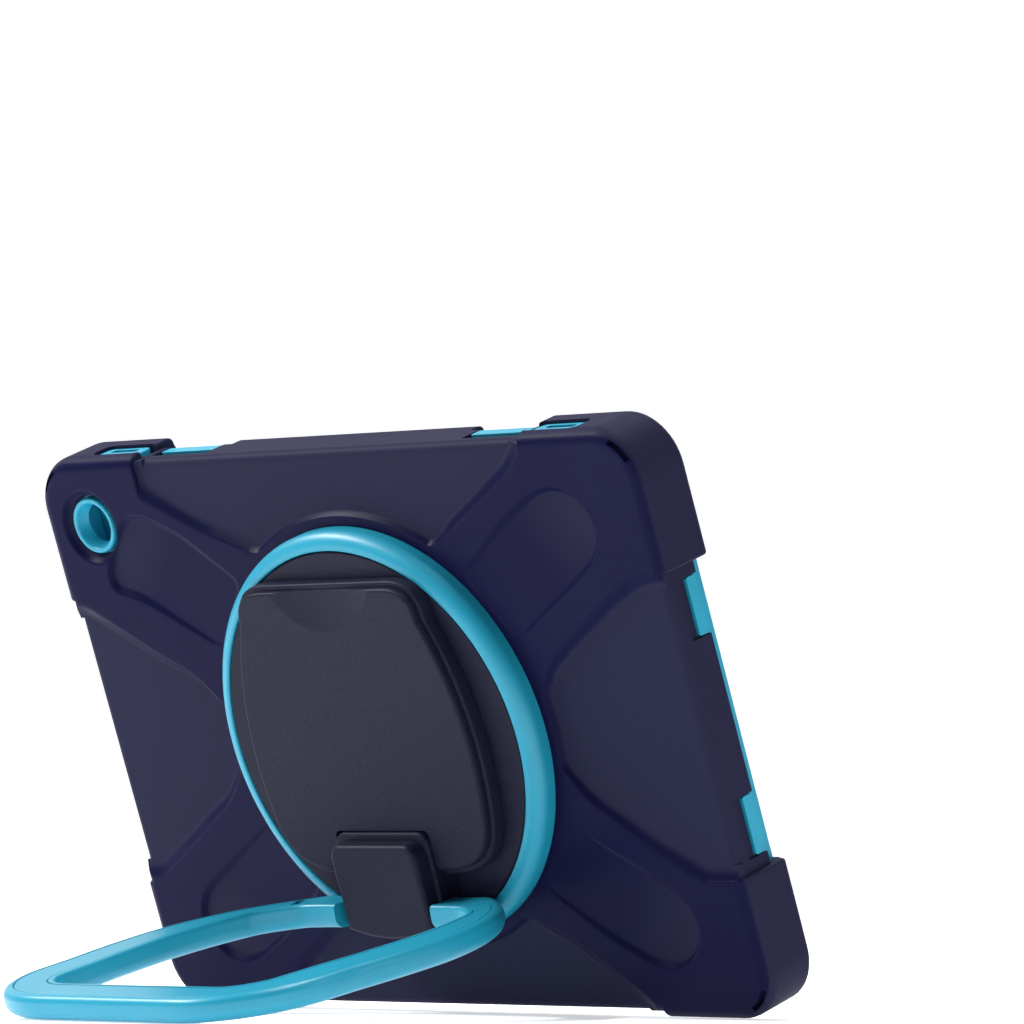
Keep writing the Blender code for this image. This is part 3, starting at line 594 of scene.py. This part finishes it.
# %% Sleeve: hollow, lips and windows
OPEN_EDGE = -15.0
TAB_BACK = -10.0
TAB_RECESS = -6.6
LIP_X = 53.2
TAB_X = 69.5
SIDE_TABS = ((34.5, 1), (-34.5, 1), (-40.1, -1))


def slab(name, half, centre, z0, z1):
    """A box with hardly rounded corners, for gaps and windows."""
    return prism(name, rounded_rect(half, 0.6, 3, centre), z0, z1)


def long_gap(sx, sy, z0, z1, less=0.0):
    """Where a long side has no lip, between its middle and a guard."""
    half = ((GUARD_X - LIP_X) / 2 - less, 10.0)
    return slab("gap", half, (sx * (LIP_X + GUARD_X) / 2, sy * 90.0), z0, z1)


def short_gap(sx, z0, z1, less=0.0):
    """Where a short side has no lip, between its two guards."""
    return slab("gap", (10.0, 48.0 - less), (sx * 130.0, 0.0 if sx > 0 else -2.0), z0, z1)


cut(sleeve, prism("cavity", rounded_rect((129.6, 89.6), 13.3), -18.6, -4.0))
flare = [(1.2, -24.0), (1.2, -20.502), (0.7, -20.4), (0.25, -20.15), (0.0, -19.7), (0.0, -17.0)]
opening = [level(rounded_rect((125.2 + out, 85.0 + out), 10.0 + out), z) for out, z in flare]
cut(sleeve, pulled("front_opening", opening))
for sx, sy in CORNERS:
    cut(
        sleeve,
        long_gap(sx, sy, -26, OPEN_EDGE),
        slab("window", (12.5, 6.0), (sx * TAB_X, sy * 94.0), -18, TAB_BACK),
        slab("recess", (12.5, 3.0), (sx * TAB_X, sy * 93.3), -10.6, TAB_RECESS),
    )
cut(sleeve, short_gap(1, -26, OPEN_EDGE), short_gap(-1, -26, OPEN_EDGE))
for y, sx in SIDE_TABS:
    cut(
        sleeve,
        slab("window", (6.0, 9.5), (sx * 134.0, y), -18, TAB_BACK),
        slab("recess", (3.0, 9.5), (sx * 133.3, y), -10.6, TAB_RECESS),
    )
print("with the windows", len(sleeve.data.polygons))

# %% [markdown]
# The openings are cut last, when the sleeve has its full thickness: the swivel's hole, the sunk
# ring round the camera, two ports with a raised surround, the holes for the buttons and the
# speakers, and a curved slot in each corner for a lanyard.

# %% Sleeve: swivel hole, camera, ports and lanyard slots
SIDE_Z = -10.7
POWER_Y, CHARGE_Y, SOUND_Y, VOLUME_Y = 35.0, 21.5, 8.0, -14.75
CAMERA = (-112.4, 70.7)
CORNER = (116.3, 76.3)
SLOT_OUT, SLOT_IN, SLOT_HALF = 15.5, 14.1, 17
SWIVEL_HOLE_R = 67.7


def side_hole(name, half, radius, y, x0, x1):
    return turned_mesh(prism(name, rounded_rect(half, radius, 8, (y, SIDE_Z)), x0, x1), TO_X)


def cut_ports(piece, x1):
    cut(
        piece,
        side_hole("charge", (5.0, 2.9), 2.0, CHARGE_Y, -140, x1),
        side_hole("sound", (3.2, 3.2), 3.19, SOUND_Y, -140, x1),
    )


def round_camera(name, levels):
    """A round solid on the camera's axis, from (radius, height) pairs."""
    return pulled(name, [level(circle(CAMERA, radius, 72), z) for radius, z in levels])


unite(
    sleeve,
    side_hole("surround", (6.7, 4.6), 2.5, CHARGE_Y, -132.6, -130.5),
    side_hole("surround", (4.4, 4.4), 4.39, SOUND_Y, -132.4, -130.5),
)
cut(sleeve, side_hole("power", (5.35, 3.25), 2.0, POWER_Y, -140, -125))
cut_ports(sleeve, -125)
cut(sleeve, side_hole("volume", (11.05, 3.25), 2.0, VOLUME_Y, -140, -125))
for side in (96.5, -96.5):
    speaker = prism("speaker", rounded_rect((4.5, 11.5), 3.0, 8, (-8.7, side)), 86, 100)
    cut(sleeve, turned_mesh(speaker, TO_Y))
for sx, sy, middle in ((1, 1, 45), (-1, 1, 135), (-1, -1, 225), (1, -1, 315)):
    centre = (sx * CORNER[0], sy * CORNER[1])
    slot_outline = arc(centre, SLOT_OUT, middle - SLOT_HALF, middle + SLOT_HALF, 12)
    slot_outline += arc(centre, SLOT_IN, middle + SLOT_HALF, middle - SLOT_HALF, 12)
    cut(sleeve, prism("slot", slot_outline, -25, 5))
cut(sleeve, prism("swivel_hole", circle((0, 0), SWIVEL_HOLE_R, 144), -6, 5))
SINK = [
    (9.7, -6), (9.7, -3.4), (9.9, -2.9), (12.0, -0.35), (12.5, -0.08), (13.0, 0.003), (13.0, 1.0),
]
cut(sleeve, round_camera("camera_sink", SINK))
settle(sleeve, CASE, navy, "case", "silicone", "silicone_sleeve")

# %% [markdown]
# The tray is one moulding: a floor with the boss that carries the swivel, a wall all round, a
# tube round the camera that shows as a bright ring, and tabs that fill the sleeve's windows.

# %% Back shell
TRAY = (129.3, 89.3)
TRAY_R = 13.0
BOSS_R = 61.0
TAB_Z = -12.6
TAB_DEEP = 5.2
shell = block("shell", TRAY, TRAY_R, -15.3, -4.3, 0.0, 0.9, 3)
unite(shell, prism("boss", circle((0, 0), BOSS_R, 144), -5.0, 0.9))
for sx, sy in CORNERS:
    start = 86.0 if sy > 0 else -86.0 - TAB_DEEP
    tab_outline = rounded_rect((2.2, 12.1), 0.8, 4, (TAB_Z, sx * TAB_X))
    unite(shell, turned_mesh(prism("tab", tab_outline, start, start + TAB_DEEP), TO_Y))
for y, sx in SIDE_TABS:
    start = 126.0 if sx > 0 else -126.0 - TAB_DEEP
    tab_outline = rounded_rect((9.1, 2.2), 0.8, 4, (y, TAB_Z))
    unite(shell, turned_mesh(prism("tab", tab_outline, start, start + TAB_DEEP), TO_X))
for side in (97.2, -97.2):
    pad_levels = fillet_levels(rect_at((3.9, 9.8), 2.4, 8, (-8.8, side)), 86, 92.6, 0.0, 0.5, 4)
    unite(shell, turned_mesh(pulled("speaker_pad", pad_levels), TO_Y))
unite(shell, round_camera("camera_tube", [(9.3, -5.5), (9.3, -2.2), (9.15, -1.8), (8.8, -1.5)]))
cut(
    shell,
    prism("bay", rounded_rect((123.8, 83.3), 9.0), -20.0, -6.0),
    prism("cover_seat", circle((0, 0), 57.0, 128), -8.0, -4.9),
    prism("clamp_seat", circle((0, 0), 26.4, 64), -8.0, -2.8),
    prism("hub_hole", circle((0, 0), 16.3, 64), -8.0, 4.0),
)
cut(shell, spun("ring_groove", [(16.9, -0.6), (24.3, -0.6), (24.3, 3.0), (16.9, 3.0)], 64))
CAMERA_BORE = [(6.4, -8.0), (6.4, -5.5), (7.4, -2.2), (7.7, -1.7), (8.2, -1.45), (8.2, 1.0)]
cut(shell, round_camera("camera_bore", CAMERA_BORE))
print("tray", len(shell.data.polygons))

# %% [markdown]
# Behind each button the tray has a seat for its flange and holes for its plungers. The ports go
# on through the tray, and a slot lies behind each speaker window.

# %% Back shell: button seats, ports and grilles
FLANGE_SEATS = ((28.6, 41.4), (-26.9, -2.6))
POWER_PLUNGERS, VOLUME_PLUNGERS = (POWER_Y,), (-22.0, -7.5)
PLUNGER_HALF = 2.3


def side_box(y0, y1, z0, z1, x0, x1):
    half = ((y1 - y0) / 2, (z1 - z0) / 2)
    centre = ((y0 + y1) / 2, (z0 + z1) / 2)
    return turned_mesh(prism("box", rounded_rect(half, 0.3, 2, centre), x0, x1), TO_X)


for y0, y1 in FLANGE_SEATS:
    cut(shell, side_box(y0, y1, -14.6, -6.8, -131, -126.8))
for y in POWER_PLUNGERS + VOLUME_PLUNGERS:
    cut(shell, side_box(y - PLUNGER_HALF, y + PLUNGER_HALF, -12.5, -8.9, -131, -120))
cut_ports(shell, -120)
for side in (97.2, -97.2):
    grille = prism("grille", rounded_rect((1.2, 6.0), 1.1, 8, (-9.6, side)), 80, 95)
    cut(shell, turned_mesh(grille, TO_Y))
settle(shell, CASE, cyan, "case", "shell_plastic", "back_shell")

# %% [markdown]
# The bezel's flat face drops down a slope to the screen. Under the sleeve's lips it is stepped
# down, and the tablet's front camera looks out of a small dish in the middle of the long side.

# %% Front frame
SCREEN = (109.6, 69.0)
# How far outside the screen's edge, corner radius, and height of each ring of the slope.
SCREEN_RIM = [
    (9.0, 7.5, -22.0), (8.1, 7.0, -19.602), (7.3, 6.4, -19.45), (0.6, 3.2, -16.75),
    (0.15, 3.0, -16.5), (0.0, 3.0, -16.1), (0.0, 3.0, -12.0),
]
DISH = [(10.4, -22.0), (10.0, -19.603), (9.2, -19.45), (4.8, -17.2), (4.2, -16.9)]
FRONT_CAMERA = (0.0, 75.0)
LIP_ROOM = 0.3
bezel = block("bezel", TRAY, TRAY_R, -19.6, -15.6, 1.6, 0.0, 5)
step_ring = block("step", (135, 95), 18, -22.0, -18.3, 0.0, 0.0)
cut(step_ring, prism("keep", rounded_rect((124.9, 84.7), 10.0), -24.0, -10.0))
for sx, sy in CORNERS:
    cut(step_ring, long_gap(sx, sy, -24, -10, LIP_ROOM))
cut(step_ring, short_gap(1, -24, -10, LIP_ROOM), short_gap(-1, -24, -10, LIP_ROOM))
cut(bezel, step_ring)
rings = []
for out, radius, z in SCREEN_RIM:
    rings.append(level(rounded_rect((SCREEN[0] + out, SCREEN[1] + out), radius, 10), z))
cut(bezel, pulled("screen", rings))
cut(bezel, pulled("dish", [level(circle(FRONT_CAMERA, radius, 64), z) for radius, z in DISH]))
cut(bezel, prism("front_camera", circle(FRONT_CAMERA, 2.2, 40), -17.5, -14.0))
settle(bezel, CASE, cyan, "case", "shell_plastic", "front_frame")

# %% [markdown]
# The collar is the bright ring round the swivel: a quarter-round section, highest at the disc.
# The inner cover closes the clamp from the tablet's side.

# %% Collar and inner cover
COLLAR_IN, COLLAR_OUT = 61.9, 67.5
COLLAR_FOOT, COLLAR_CREST = -4.0, 7.6
COLLAR_ROUND = 5.0
COVER_R = 56.7
crest_centre = (COLLAR_OUT - COLLAR_ROUND, COLLAR_CREST - COLLAR_ROUND)
section = [(COLLAR_IN, COLLAR_FOOT), (COLLAR_OUT, COLLAR_FOOT)]
section += arc(crest_centre, COLLAR_ROUND, 0, 90, 20)
section += [(62.2, 7.5), (62.0, 7.35), (COLLAR_IN, 7.1)]
settle(spun("collar", section, 180), CASE, cyan, "case", "shell_plastic", "swivel_collar")
cover_levels = fillet_levels(circle_at(COVER_R, 128), -6.0, -5.2, 0.25, 0.0, 3)
settle(pulled("swivel_cover", cover_levels), CASE, cyan, "case", "shell_plastic", "inner_cover")

# %% [markdown]
# The disc turns in the collar on a hub. Its screws' pilot holes are kept, because the screws
# are real pieces and would otherwise stand inside solid plastic.

# %% Swivel disc
HUB_R = 16.0
DISC_R = 61.6
DISC_FLOOR, DISC_TOP = 1.2, 7.3
PILOT_R = 1.25
SCREWS = arc((0.0, 0.0), 11.0, 45, 315, 3)
HINGE_SCREWS = [(-12.0, -45.0), (12.0, -45.0)]
disc_rings = [level(circle((0, 0), HUB_R, 144), z) for z in (-2.8, DISC_FLOOR)]
disc_rings += fillet_levels(circle_at(DISC_R, 144), DISC_FLOOR, DISC_TOP, 0.3, 0.6, 4)
disc = pulled("disc", disc_rings)
for spot in SCREWS:
    cut(disc, prism("pilot", circle(spot, PILOT_R, 20), -4.0, 2.7))
for spot in HINGE_SCREWS:
    cut(disc, prism("bore", circle(spot, 1.5, 20), -1.0, 9.0))
    cut(disc, prism("sink", circle(spot, 2.8, 24), -1.0, 3.2))
settle(disc, CASE, graphite, "swivel", "graphite_plastic", "swivel_disc")

# %% [markdown]
# The grip plate is two layers: a wider base and a cover with a thumb scoop at its top edge. The
# sides are bowed arcs, so the outline is computed row by row and its corners are eased.

# %% Outline of the grip plate
BOW_R = 110.5
BOW_Y = -3.0
PLATE_BOW = 62.4
PLATE_HIGH, PLATE_LOW = 51.3, -39.7


def bowed(y):
    """How far the bowed side stands from its arc's centre at height y."""
    return math.sqrt(BOW_R**2 - (y - BOW_Y) ** 2)


def plate_outline(grow):
    side = []
    for step in range(25):
        y = 41.0 - 68.0 * step / 24
        side.append((bowed(y) - PLATE_BOW + grow, y))
    (high_x, high_y), (low_x, low_y) = side[0], side[-1]
    top = PLATE_HIGH + grow * 1.15
    low = PLATE_LOW - grow * 1.4
    right = []
    for step in range(9):
        t = step / 8
        right.append((bend(27.5, 39.4 + grow, high_x, t), bend(top, top - 0.2, high_y, t)))
    right += side[1:]
    for step in range(1, 11):
        t = step / 10
        right.append((bend(low_x, 41.5 + grow, 25.5, t), bend(low_y, low, low, t)))
    left = [(-x, y) for x, y in right[::-1]]
    return (right + left)[::-1]


def plate_at(grow):
    def at(back):
        return plate_outline(grow - back)
    return at


print("plate half width", round(max(x for x, _ in plate_outline(0.0)), 1))

# %% [markdown]
# The base and the cover are one outline at two sizes. The thumb scoop is a very large ball
# pressed into the cover's top edge, drawn as rings that climb out of it.

# %% Grip plate and its cover
PLATE_FLOOR, PLATE_TOP = 7.6, 12.0
COVER_FLOOR, COVER_TOP = 12.2, 14.5
SCOOP_CENTRE = (0.0, 63.1)
SCOOP_R = 28.188
SCOOP_BALL = 128.0
SCOOP_DEEP = 2.6


def hinge_notch():
    """Room for the hinge block in the plate's lower edge."""
    return prism("notch", rounded_rect((20.6, 17.0), 2.0, 4, (0.0, -43.6)), 4.0, 18.0)


plate = pulled("plate", fillet_levels(plate_at(1.5), PLATE_FLOOR, PLATE_TOP, 0.0, 0.9, 4))
cut(plate, hinge_notch())
settle(plate, CASE, graphite, "swivel", "graphite_plastic", "grip_plate")

cover_levels = fillet_levels(plate_at(0.0), COVER_FLOOR, COVER_TOP, 0.0, 1.1, 5)
plate_cover = pulled("plate_cover", cover_levels)
cut(plate_cover, hinge_notch())
scoop_rings = []
for step in range(1, 17):
    radius = SCOOP_R * step / 16
    fall = SCOOP_BALL - math.sqrt(SCOOP_BALL**2 - radius**2)
    scoop_rings.append(level(circle(SCOOP_CENTRE, radius, 96), COVER_TOP - SCOOP_DEEP + fall))
scoop_rings.append(level(circle(SCOOP_CENTRE, SCOOP_R, 96), 17.0))
cut(plate_cover, pulled("scoop", scoop_rings))
settle(plate_cover, CASE, graphite, "swivel", "graphite_plastic", "grip_plate_cover")

# %% [markdown]
# The hinge block stands proud of everything else. Its lower edge follows the disc, its upper
# corners are round, and the cover's rim has a broad soft bevel that catches the light.

# %% Hinge block
def block_at(half, top, low_radius, corner):
    def at(back):
        h, t, r = half - back, top - back, low_radius - back
        c = max(corner - back, 0.5)
        low_angle = math.degrees(math.acos(h / r))
        points = arc((0, 0), r, 180 + low_angle, 360 - low_angle, 16)
        points += arc((h - c, t - c), c, 0, 90, 8)
        points += arc((-h + c, t - c), c, 90, 180, 8)
        return points
    return at


HOUSING_TOP = 16.0
BLOCK_FLOOR, BLOCK_TOP = 16.2, 21.5
PIN_HOLE_R = 1.35
housing_at = block_at(20.2, -27.0, 60.9, 4.0)
housing = pulled("housing", fillet_levels(housing_at, PLATE_FLOOR, HOUSING_TOP, 0.0, 0.9, 4))
pin_hole = prism("pin_hole", circle((AXIS_Y, AXIS_Z), PIN_HOLE_R, 32), -30, 30)
cut(housing, turned_mesh(pin_hole, TO_X))
for spot in HINGE_SCREWS:
    cut(housing, prism("pilot", circle(spot, PILOT_R, 20), 4.0, 11.0))
settle(housing, CASE, graphite, "swivel", "graphite_plastic", "hinge_housing")
cap_at = block_at(18.7, -29.3, 60.0, 4.4)
hinge_cover = pulled("hinge_cover", fillet_levels(cap_at, BLOCK_FLOOR, BLOCK_TOP, 0.0, 1.7, 6))
settle(hinge_cover, CASE, graphite, "swivel", "graphite_plastic", "hinge_cover")

# %% [markdown]
# The ring handle has a D-shaped section: flat towards the case when it is folded, and well
# rounded outside for the hand. Two curves, one outside and one inside, are walked together and
# the section is stretched between them. A seat in the flat side takes the inlay.

# %% The handle's two curves
TIP, TIP_R = 76.0, 36.0
HOLE_TIP, HOLE_TIP_R = 58.5, 13.5
HANDLE_R, HOLE_R = 68.5, 58.0
HOLE_BOW = 59.5
FINE = 4


def walk(points, count):
    """A smooth curve through the points, with count steps between each two."""
    result = []
    for i in range(len(points) - 1):
        a = Vector(points[max(i - 1, 0)])
        b, c = Vector(points[i]), Vector(points[i + 1])
        d = Vector(points[min(i + 2, len(points) - 1)])
        for step in range(count):
            t = step / count
            spot = b * 2 + (c - a) * t + (a * 2 - b * 5 + c * 4 - d) * t**2
            spot += (b * 3 - a - c * 3 + d) * t**3
            result.append(spot * 0.5)
    result.append(Vector(points[-1]))
    return result


def ring_sides():
    outer = [(21.35, -58.0), (25.0, -58.0), (30.0, -58.2)]
    outer += arc((0, 0), HANDLE_R, -58.3, 0.0, 12) + [(68.2, 10.0), (67.3, 20.0), (66.0, 31.0)]
    outer += arc((29.5, TIP - TIP_R), TIP_R, 3.0, 90.0, 9)
    outer += [(20.0, TIP), (10.0, TIP), (0.0, TIP)]
    inner = [(21.35, -43.2), (25.0, -43.2), (28.0, -43.1)]
    for step in range(13):
        y = HOLE_R * math.sin(math.radians(-51.0 + 51.0 * step / 12))
        x = bowed(y) - HOLE_BOW
        if y < -32.0:
            x -= 12.5 * ((-32.0 - y) / 13.1) ** 1.7
        inner.append((x, max(y, -42.9)))
    inner += [(50.2, 10.0), (49.3, 20.0), (47.8, 31.0)]
    inner += arc((33.0, HOLE_TIP - HOLE_TIP_R), HOLE_TIP_R, 0.0, 90.0, 9)
    inner += [(22.0, HOLE_TIP), (11.0, HOLE_TIP), (0.0, HOLE_TIP)]
    return walk(outer, FINE), walk(inner, FINE)


outer_side, inner_side = ring_sides()
print("handle", round(2 * max(spot.x for spot in outer_side), 1), "mm wide")

# %% [markdown]
# The section is drawn as (across, height) pairs and placed at every step of the two curves. The
# seat grows to its full depth over two steps, past the solid ends that hold the pin.

# %% Ring handle
FLAT, ROUND = -4.0, 4.0
OUTER_R, INNER_R, HOLE_EDGE_R = 4.0, 3.8, 1.4
SEAT = 1.2
SEAT_START, INLAY_START = 17, 19
MARGIN, MARGIN_IN = 3.2, 2.4
CATCH_NOTCH = [(-6.0, -12.6), (-2.8, -11.4), (-4.05, 22.0), (-6.0, 22.0)]


def section_points(out, inner, shape, *sizes):
    across = inner - out
    width = across.length
    across.normalize()
    points = shape(width, *sizes)
    return [(out.x + across.x * s, out.y + across.y * s - AXIS_Y, t) for s, t in points]


def both_halves(rings):
    return rings + [[(-x, u, t) for x, u, t in ring] for ring in rings[:-1]][::-1]


def flat_fillet(y):
    """The flat side's outer fillet: 3.8 mm near the hinge, 2.6 mm from y = -38 on."""
    return 3.8 - 1.2 * min(1.0, max(0.0, (y + 50.0) / 12.0))


def seat_edge(soft):
    return max(soft + 0.3, MARGIN)


def d_shape(width, soft, deep):
    edge, inner_edge = seat_edge(soft), width - MARGIN_IN
    shape = [(edge + 0.02, FLAT + deep), (edge, FLAT)]
    shape += arc((soft, FLAT + soft), soft, 270, 180, 6)
    shape += arc((OUTER_R, ROUND - OUTER_R), OUTER_R, 180, 90, 7)
    shape += arc((width - INNER_R, ROUND - INNER_R), INNER_R, 90, 0, 7)
    shape += arc((width - HOLE_EDGE_R, FLAT + HOLE_EDGE_R), HOLE_EDGE_R, 0, -90, 4)
    return shape + [(inner_edge, FLAT), (inner_edge - 0.02, FLAT + deep)]


handle_rings = []
for number, (out, inner) in enumerate(zip(outer_side, inner_side)):
    deep = min(SEAT, 0.05 + SEAT * max(0.0, number - SEAT_START) / 2.0)
    handle_rings.append(section_points(out, inner, d_shape, flat_fillet(out.y), deep))
ring_handle = pulled("ring_handle", both_halves(handle_rings))
bore = prism("bore", circle((0.0, 0.0), PIN_HOLE_R, 32), -33.5, 33.5)
notch_u = HOLE_TIP - AXIS_Y
notch = prism("notch", CATCH_NOTCH, notch_u - 3.0, notch_u + 1.4)
cut(ring_handle, turned_mesh(bore, TO_X), turned_mesh(notch, TO_Y))
settle(ring_handle, HANDLE, handle_cyan, "handle", "handle_plastic", "handle_ring")

# %% [markdown]
# The inlay fills the seat with a little room at its sides, and its visible rim is chamfered.

# %% Inlay in the handle's flat side
def inlay_shape(width, soft, room=0.25, chamfer=0.3):
    near, far = seat_edge(soft) + room, width - MARGIN_IN - room
    low, high = FLAT + 0.05, FLAT + SEAT - 0.3
    lower_side = [(near, low + chamfer), (near + chamfer, low), (far - chamfer, low)]
    return [(near, high), *lower_side, (far, low + chamfer), (far, high)]


inlay_rings = []
for out, inner in list(zip(outer_side, inner_side))[INLAY_START:]:
    inlay_rings.append(section_points(out, inner, inlay_shape, flat_fillet(out.y)))
inlay = pulled("inlay", both_halves(inlay_rings))
settle(inlay, HANDLE, handle_cyan, "handle", "handle_plastic", "handle_inlay")

# %% [markdown]
# Each button is a pad outside, a flange that keeps it in, and a plunger that reaches the
# tablet's key, so a button can travel without falling out.

# %% Buttons
def button(name, half, y, flange, plungers, node, body):
    at = rect_at(half, 1.8, 8, (y, SIDE_Z))
    made = turned_mesh(pulled(name, fillet_levels(at, -133.0, -128.9, 0.7, 0.0, 5)), TO_X)
    unite(made, side_box(*flange, -14.2, -7.2, -129.3, -128.3))
    for spot in plungers:
        unite(made, side_box(spot - 1.8, spot + 1.8, -12.0, -9.4, -128.8, -124.3))
    settle(made, CASE, navy, body, "silicone", node)


button("power_pad", (5.0, 2.9), POWER_Y, (29.0, 41.0), POWER_PLUNGERS, "power_button", "power")
button(
    "volume_pad", (10.7, 2.9), VOLUME_Y, (-26.5, -3.0), VOLUME_PLUNGERS, "volume_button", "volume"
)

# %% [markdown]
# The small parts keep their CAD shapes and take the finished materials.

# %% Small parts
RUBBER_PARTS = ("friction_ring", "hinge_washer_left", "hinge_washer_right")
STEEL_PARTS = (
    "retaining_plate", "hinge_pin", "hinge_screw_1", "hinge_screw_2", "retaining_screw_1",
    "retaining_screw_2", "retaining_screw_3", "retaining_screw_4",
)
for finish, nodes in ((washer, RUBBER_PARTS), (steel, STEEL_PARTS)):
    for node in nodes:
        materials = frame["nodes"][node].data.materials
        materials.clear()
        materials.append(finish.material)
    print(finish.material.name, "on", len(nodes), "parts")

# %% [markdown]
# The floor and the backdrop are one pale sheet that bends upwards behind the case, as a studio's
# paper roll does. It glows a little, so that it stays white where the lamps hardly reach it and
# no horizon shows.

# %% Floor
FLOOR_PALE = (0.90, 0.90, 0.91, 1.0)
FLOOR_PALER = (0.92, 0.92, 0.93, 1.0)
SHEET = 9.0
FLAT_RUN, BEND_RUN, BEND_R = 5.0, 1.6, 1.02
NEAR_EDGE = 2.6
UNDER = 0.0004
deselect()
bpy.ops.mesh.primitive_grid_add(x_subdivisions=2, y_subdivisions=40, size=1.0)
floor = bpy.context.object
floor.name = "floor"
for vert in floor.data.vertices:
    run = (vert.co.y + 0.5) * SHEET
    angle = min(max((run - FLAT_RUN) / BEND_RUN, 0.0), 1.0) * math.pi / 2
    back = min(run, FLAT_RUN) + BEND_R * math.sin(angle)
    rise = BEND_R * (1 - math.cos(angle)) + max(0.0, run - FLAT_RUN - BEND_RUN)
    vert.co = Vector((vert.co.x * SHEET, back - NEAR_EDGE, rise - UNDER))
floor.data.transform(Matrix.Rotation(math.radians(45.14), 4, "Z"))
paper = Finish("pale_floor", Roughness=0.9, Emission_Strength=0.53)
paper.shader.inputs["Emission Color"].default_value = (1.0, 1.0, 1.0, 1.0)
paper.feed(Base_Color=paper.blend(paper.noise(3.0), FLOOR_PALE, FLOOR_PALER))
floor.data.materials.append(paper.material)
bpy.ops.object.shade_smooth()
print("floor", SHEET, "m sheet, flat for", FLAT_RUN, "m")

# %% [markdown]
# Dark silicone and graphite would look flat under one large light. Long thin strips draw narrow
# pale lines along their rounded edges instead: one from the left, one from the right and one
# overhead. A weak box lights the screen's side, and the surround stays dim.

# %% Lights
def softbox(name, place, aim, size, power):
    deselect()
    bpy.ops.object.light_add(type="AREA", location=place)
    lamp = bpy.context.object
    lamp.name = name
    lamp.data.shape = "RECTANGLE"
    lamp.data.size, lamp.data.size_y = size
    lamp.data.energy = power
    lamp.rotation_euler = (Vector(aim) - Vector(place)).to_track_quat("-Z", "Y").to_euler()
    print(name, power, "W from", place)


softbox("key", (-1.1, -0.7, 1.3), (0, 0, 0.08), (1.0, 0.14), 36.0)
softbox("side", (1.7, 0.6, 1.0), (0, 0, 0.1), (0.14, 1.1), 6.0)
softbox("top", (0.1, 0.1, 1.7), (0, 0, 0.1), (1.3, 0.16), 23.0)
softbox("screen_side", (-0.3, 1.6, 1.2), (0, 0, 0.1), (1.2, 0.6), 9.0)
world = bpy.data.worlds.new("studio")
world.use_nodes = True
surround = world.node_tree.nodes["Background"].inputs
surround["Color"].default_value = (0.95, 0.97, 1.0, 1.0)
surround["Strength"].default_value = 0.10
bpy.context.scene.world = world

# %% [markdown]
# A long lens keeps the case's edges nearly parallel. The camera looks slightly up from just
# above the table, and its place is given in the case's own frame.

# %% Camera
EYE = (1570.6, 499.7, 1425.5)
SENSOR = 36.0
LENS_IN_SENSORS = 7055.0 / 1024.0
deselect()
bpy.ops.object.camera_add(location=CASE @ (Vector(EYE) * MM))
camera = bpy.context.object
camera.name = "studio_camera"
camera.rotation_euler = (math.radians(92.5471), math.radians(0.0488), math.radians(45.1399))
camera.data.sensor_width = SENSOR
camera.data.lens = LENS_IN_SENSORS * SENSOR
camera.data.clip_start = 0.05
bpy.context.scene.camera = camera
bpy.context.scene.view_settings.view_transform = "Standard"
print("lens", round(camera.data.lens, 1), "mm at", [round(value, 3) for value in camera.location])
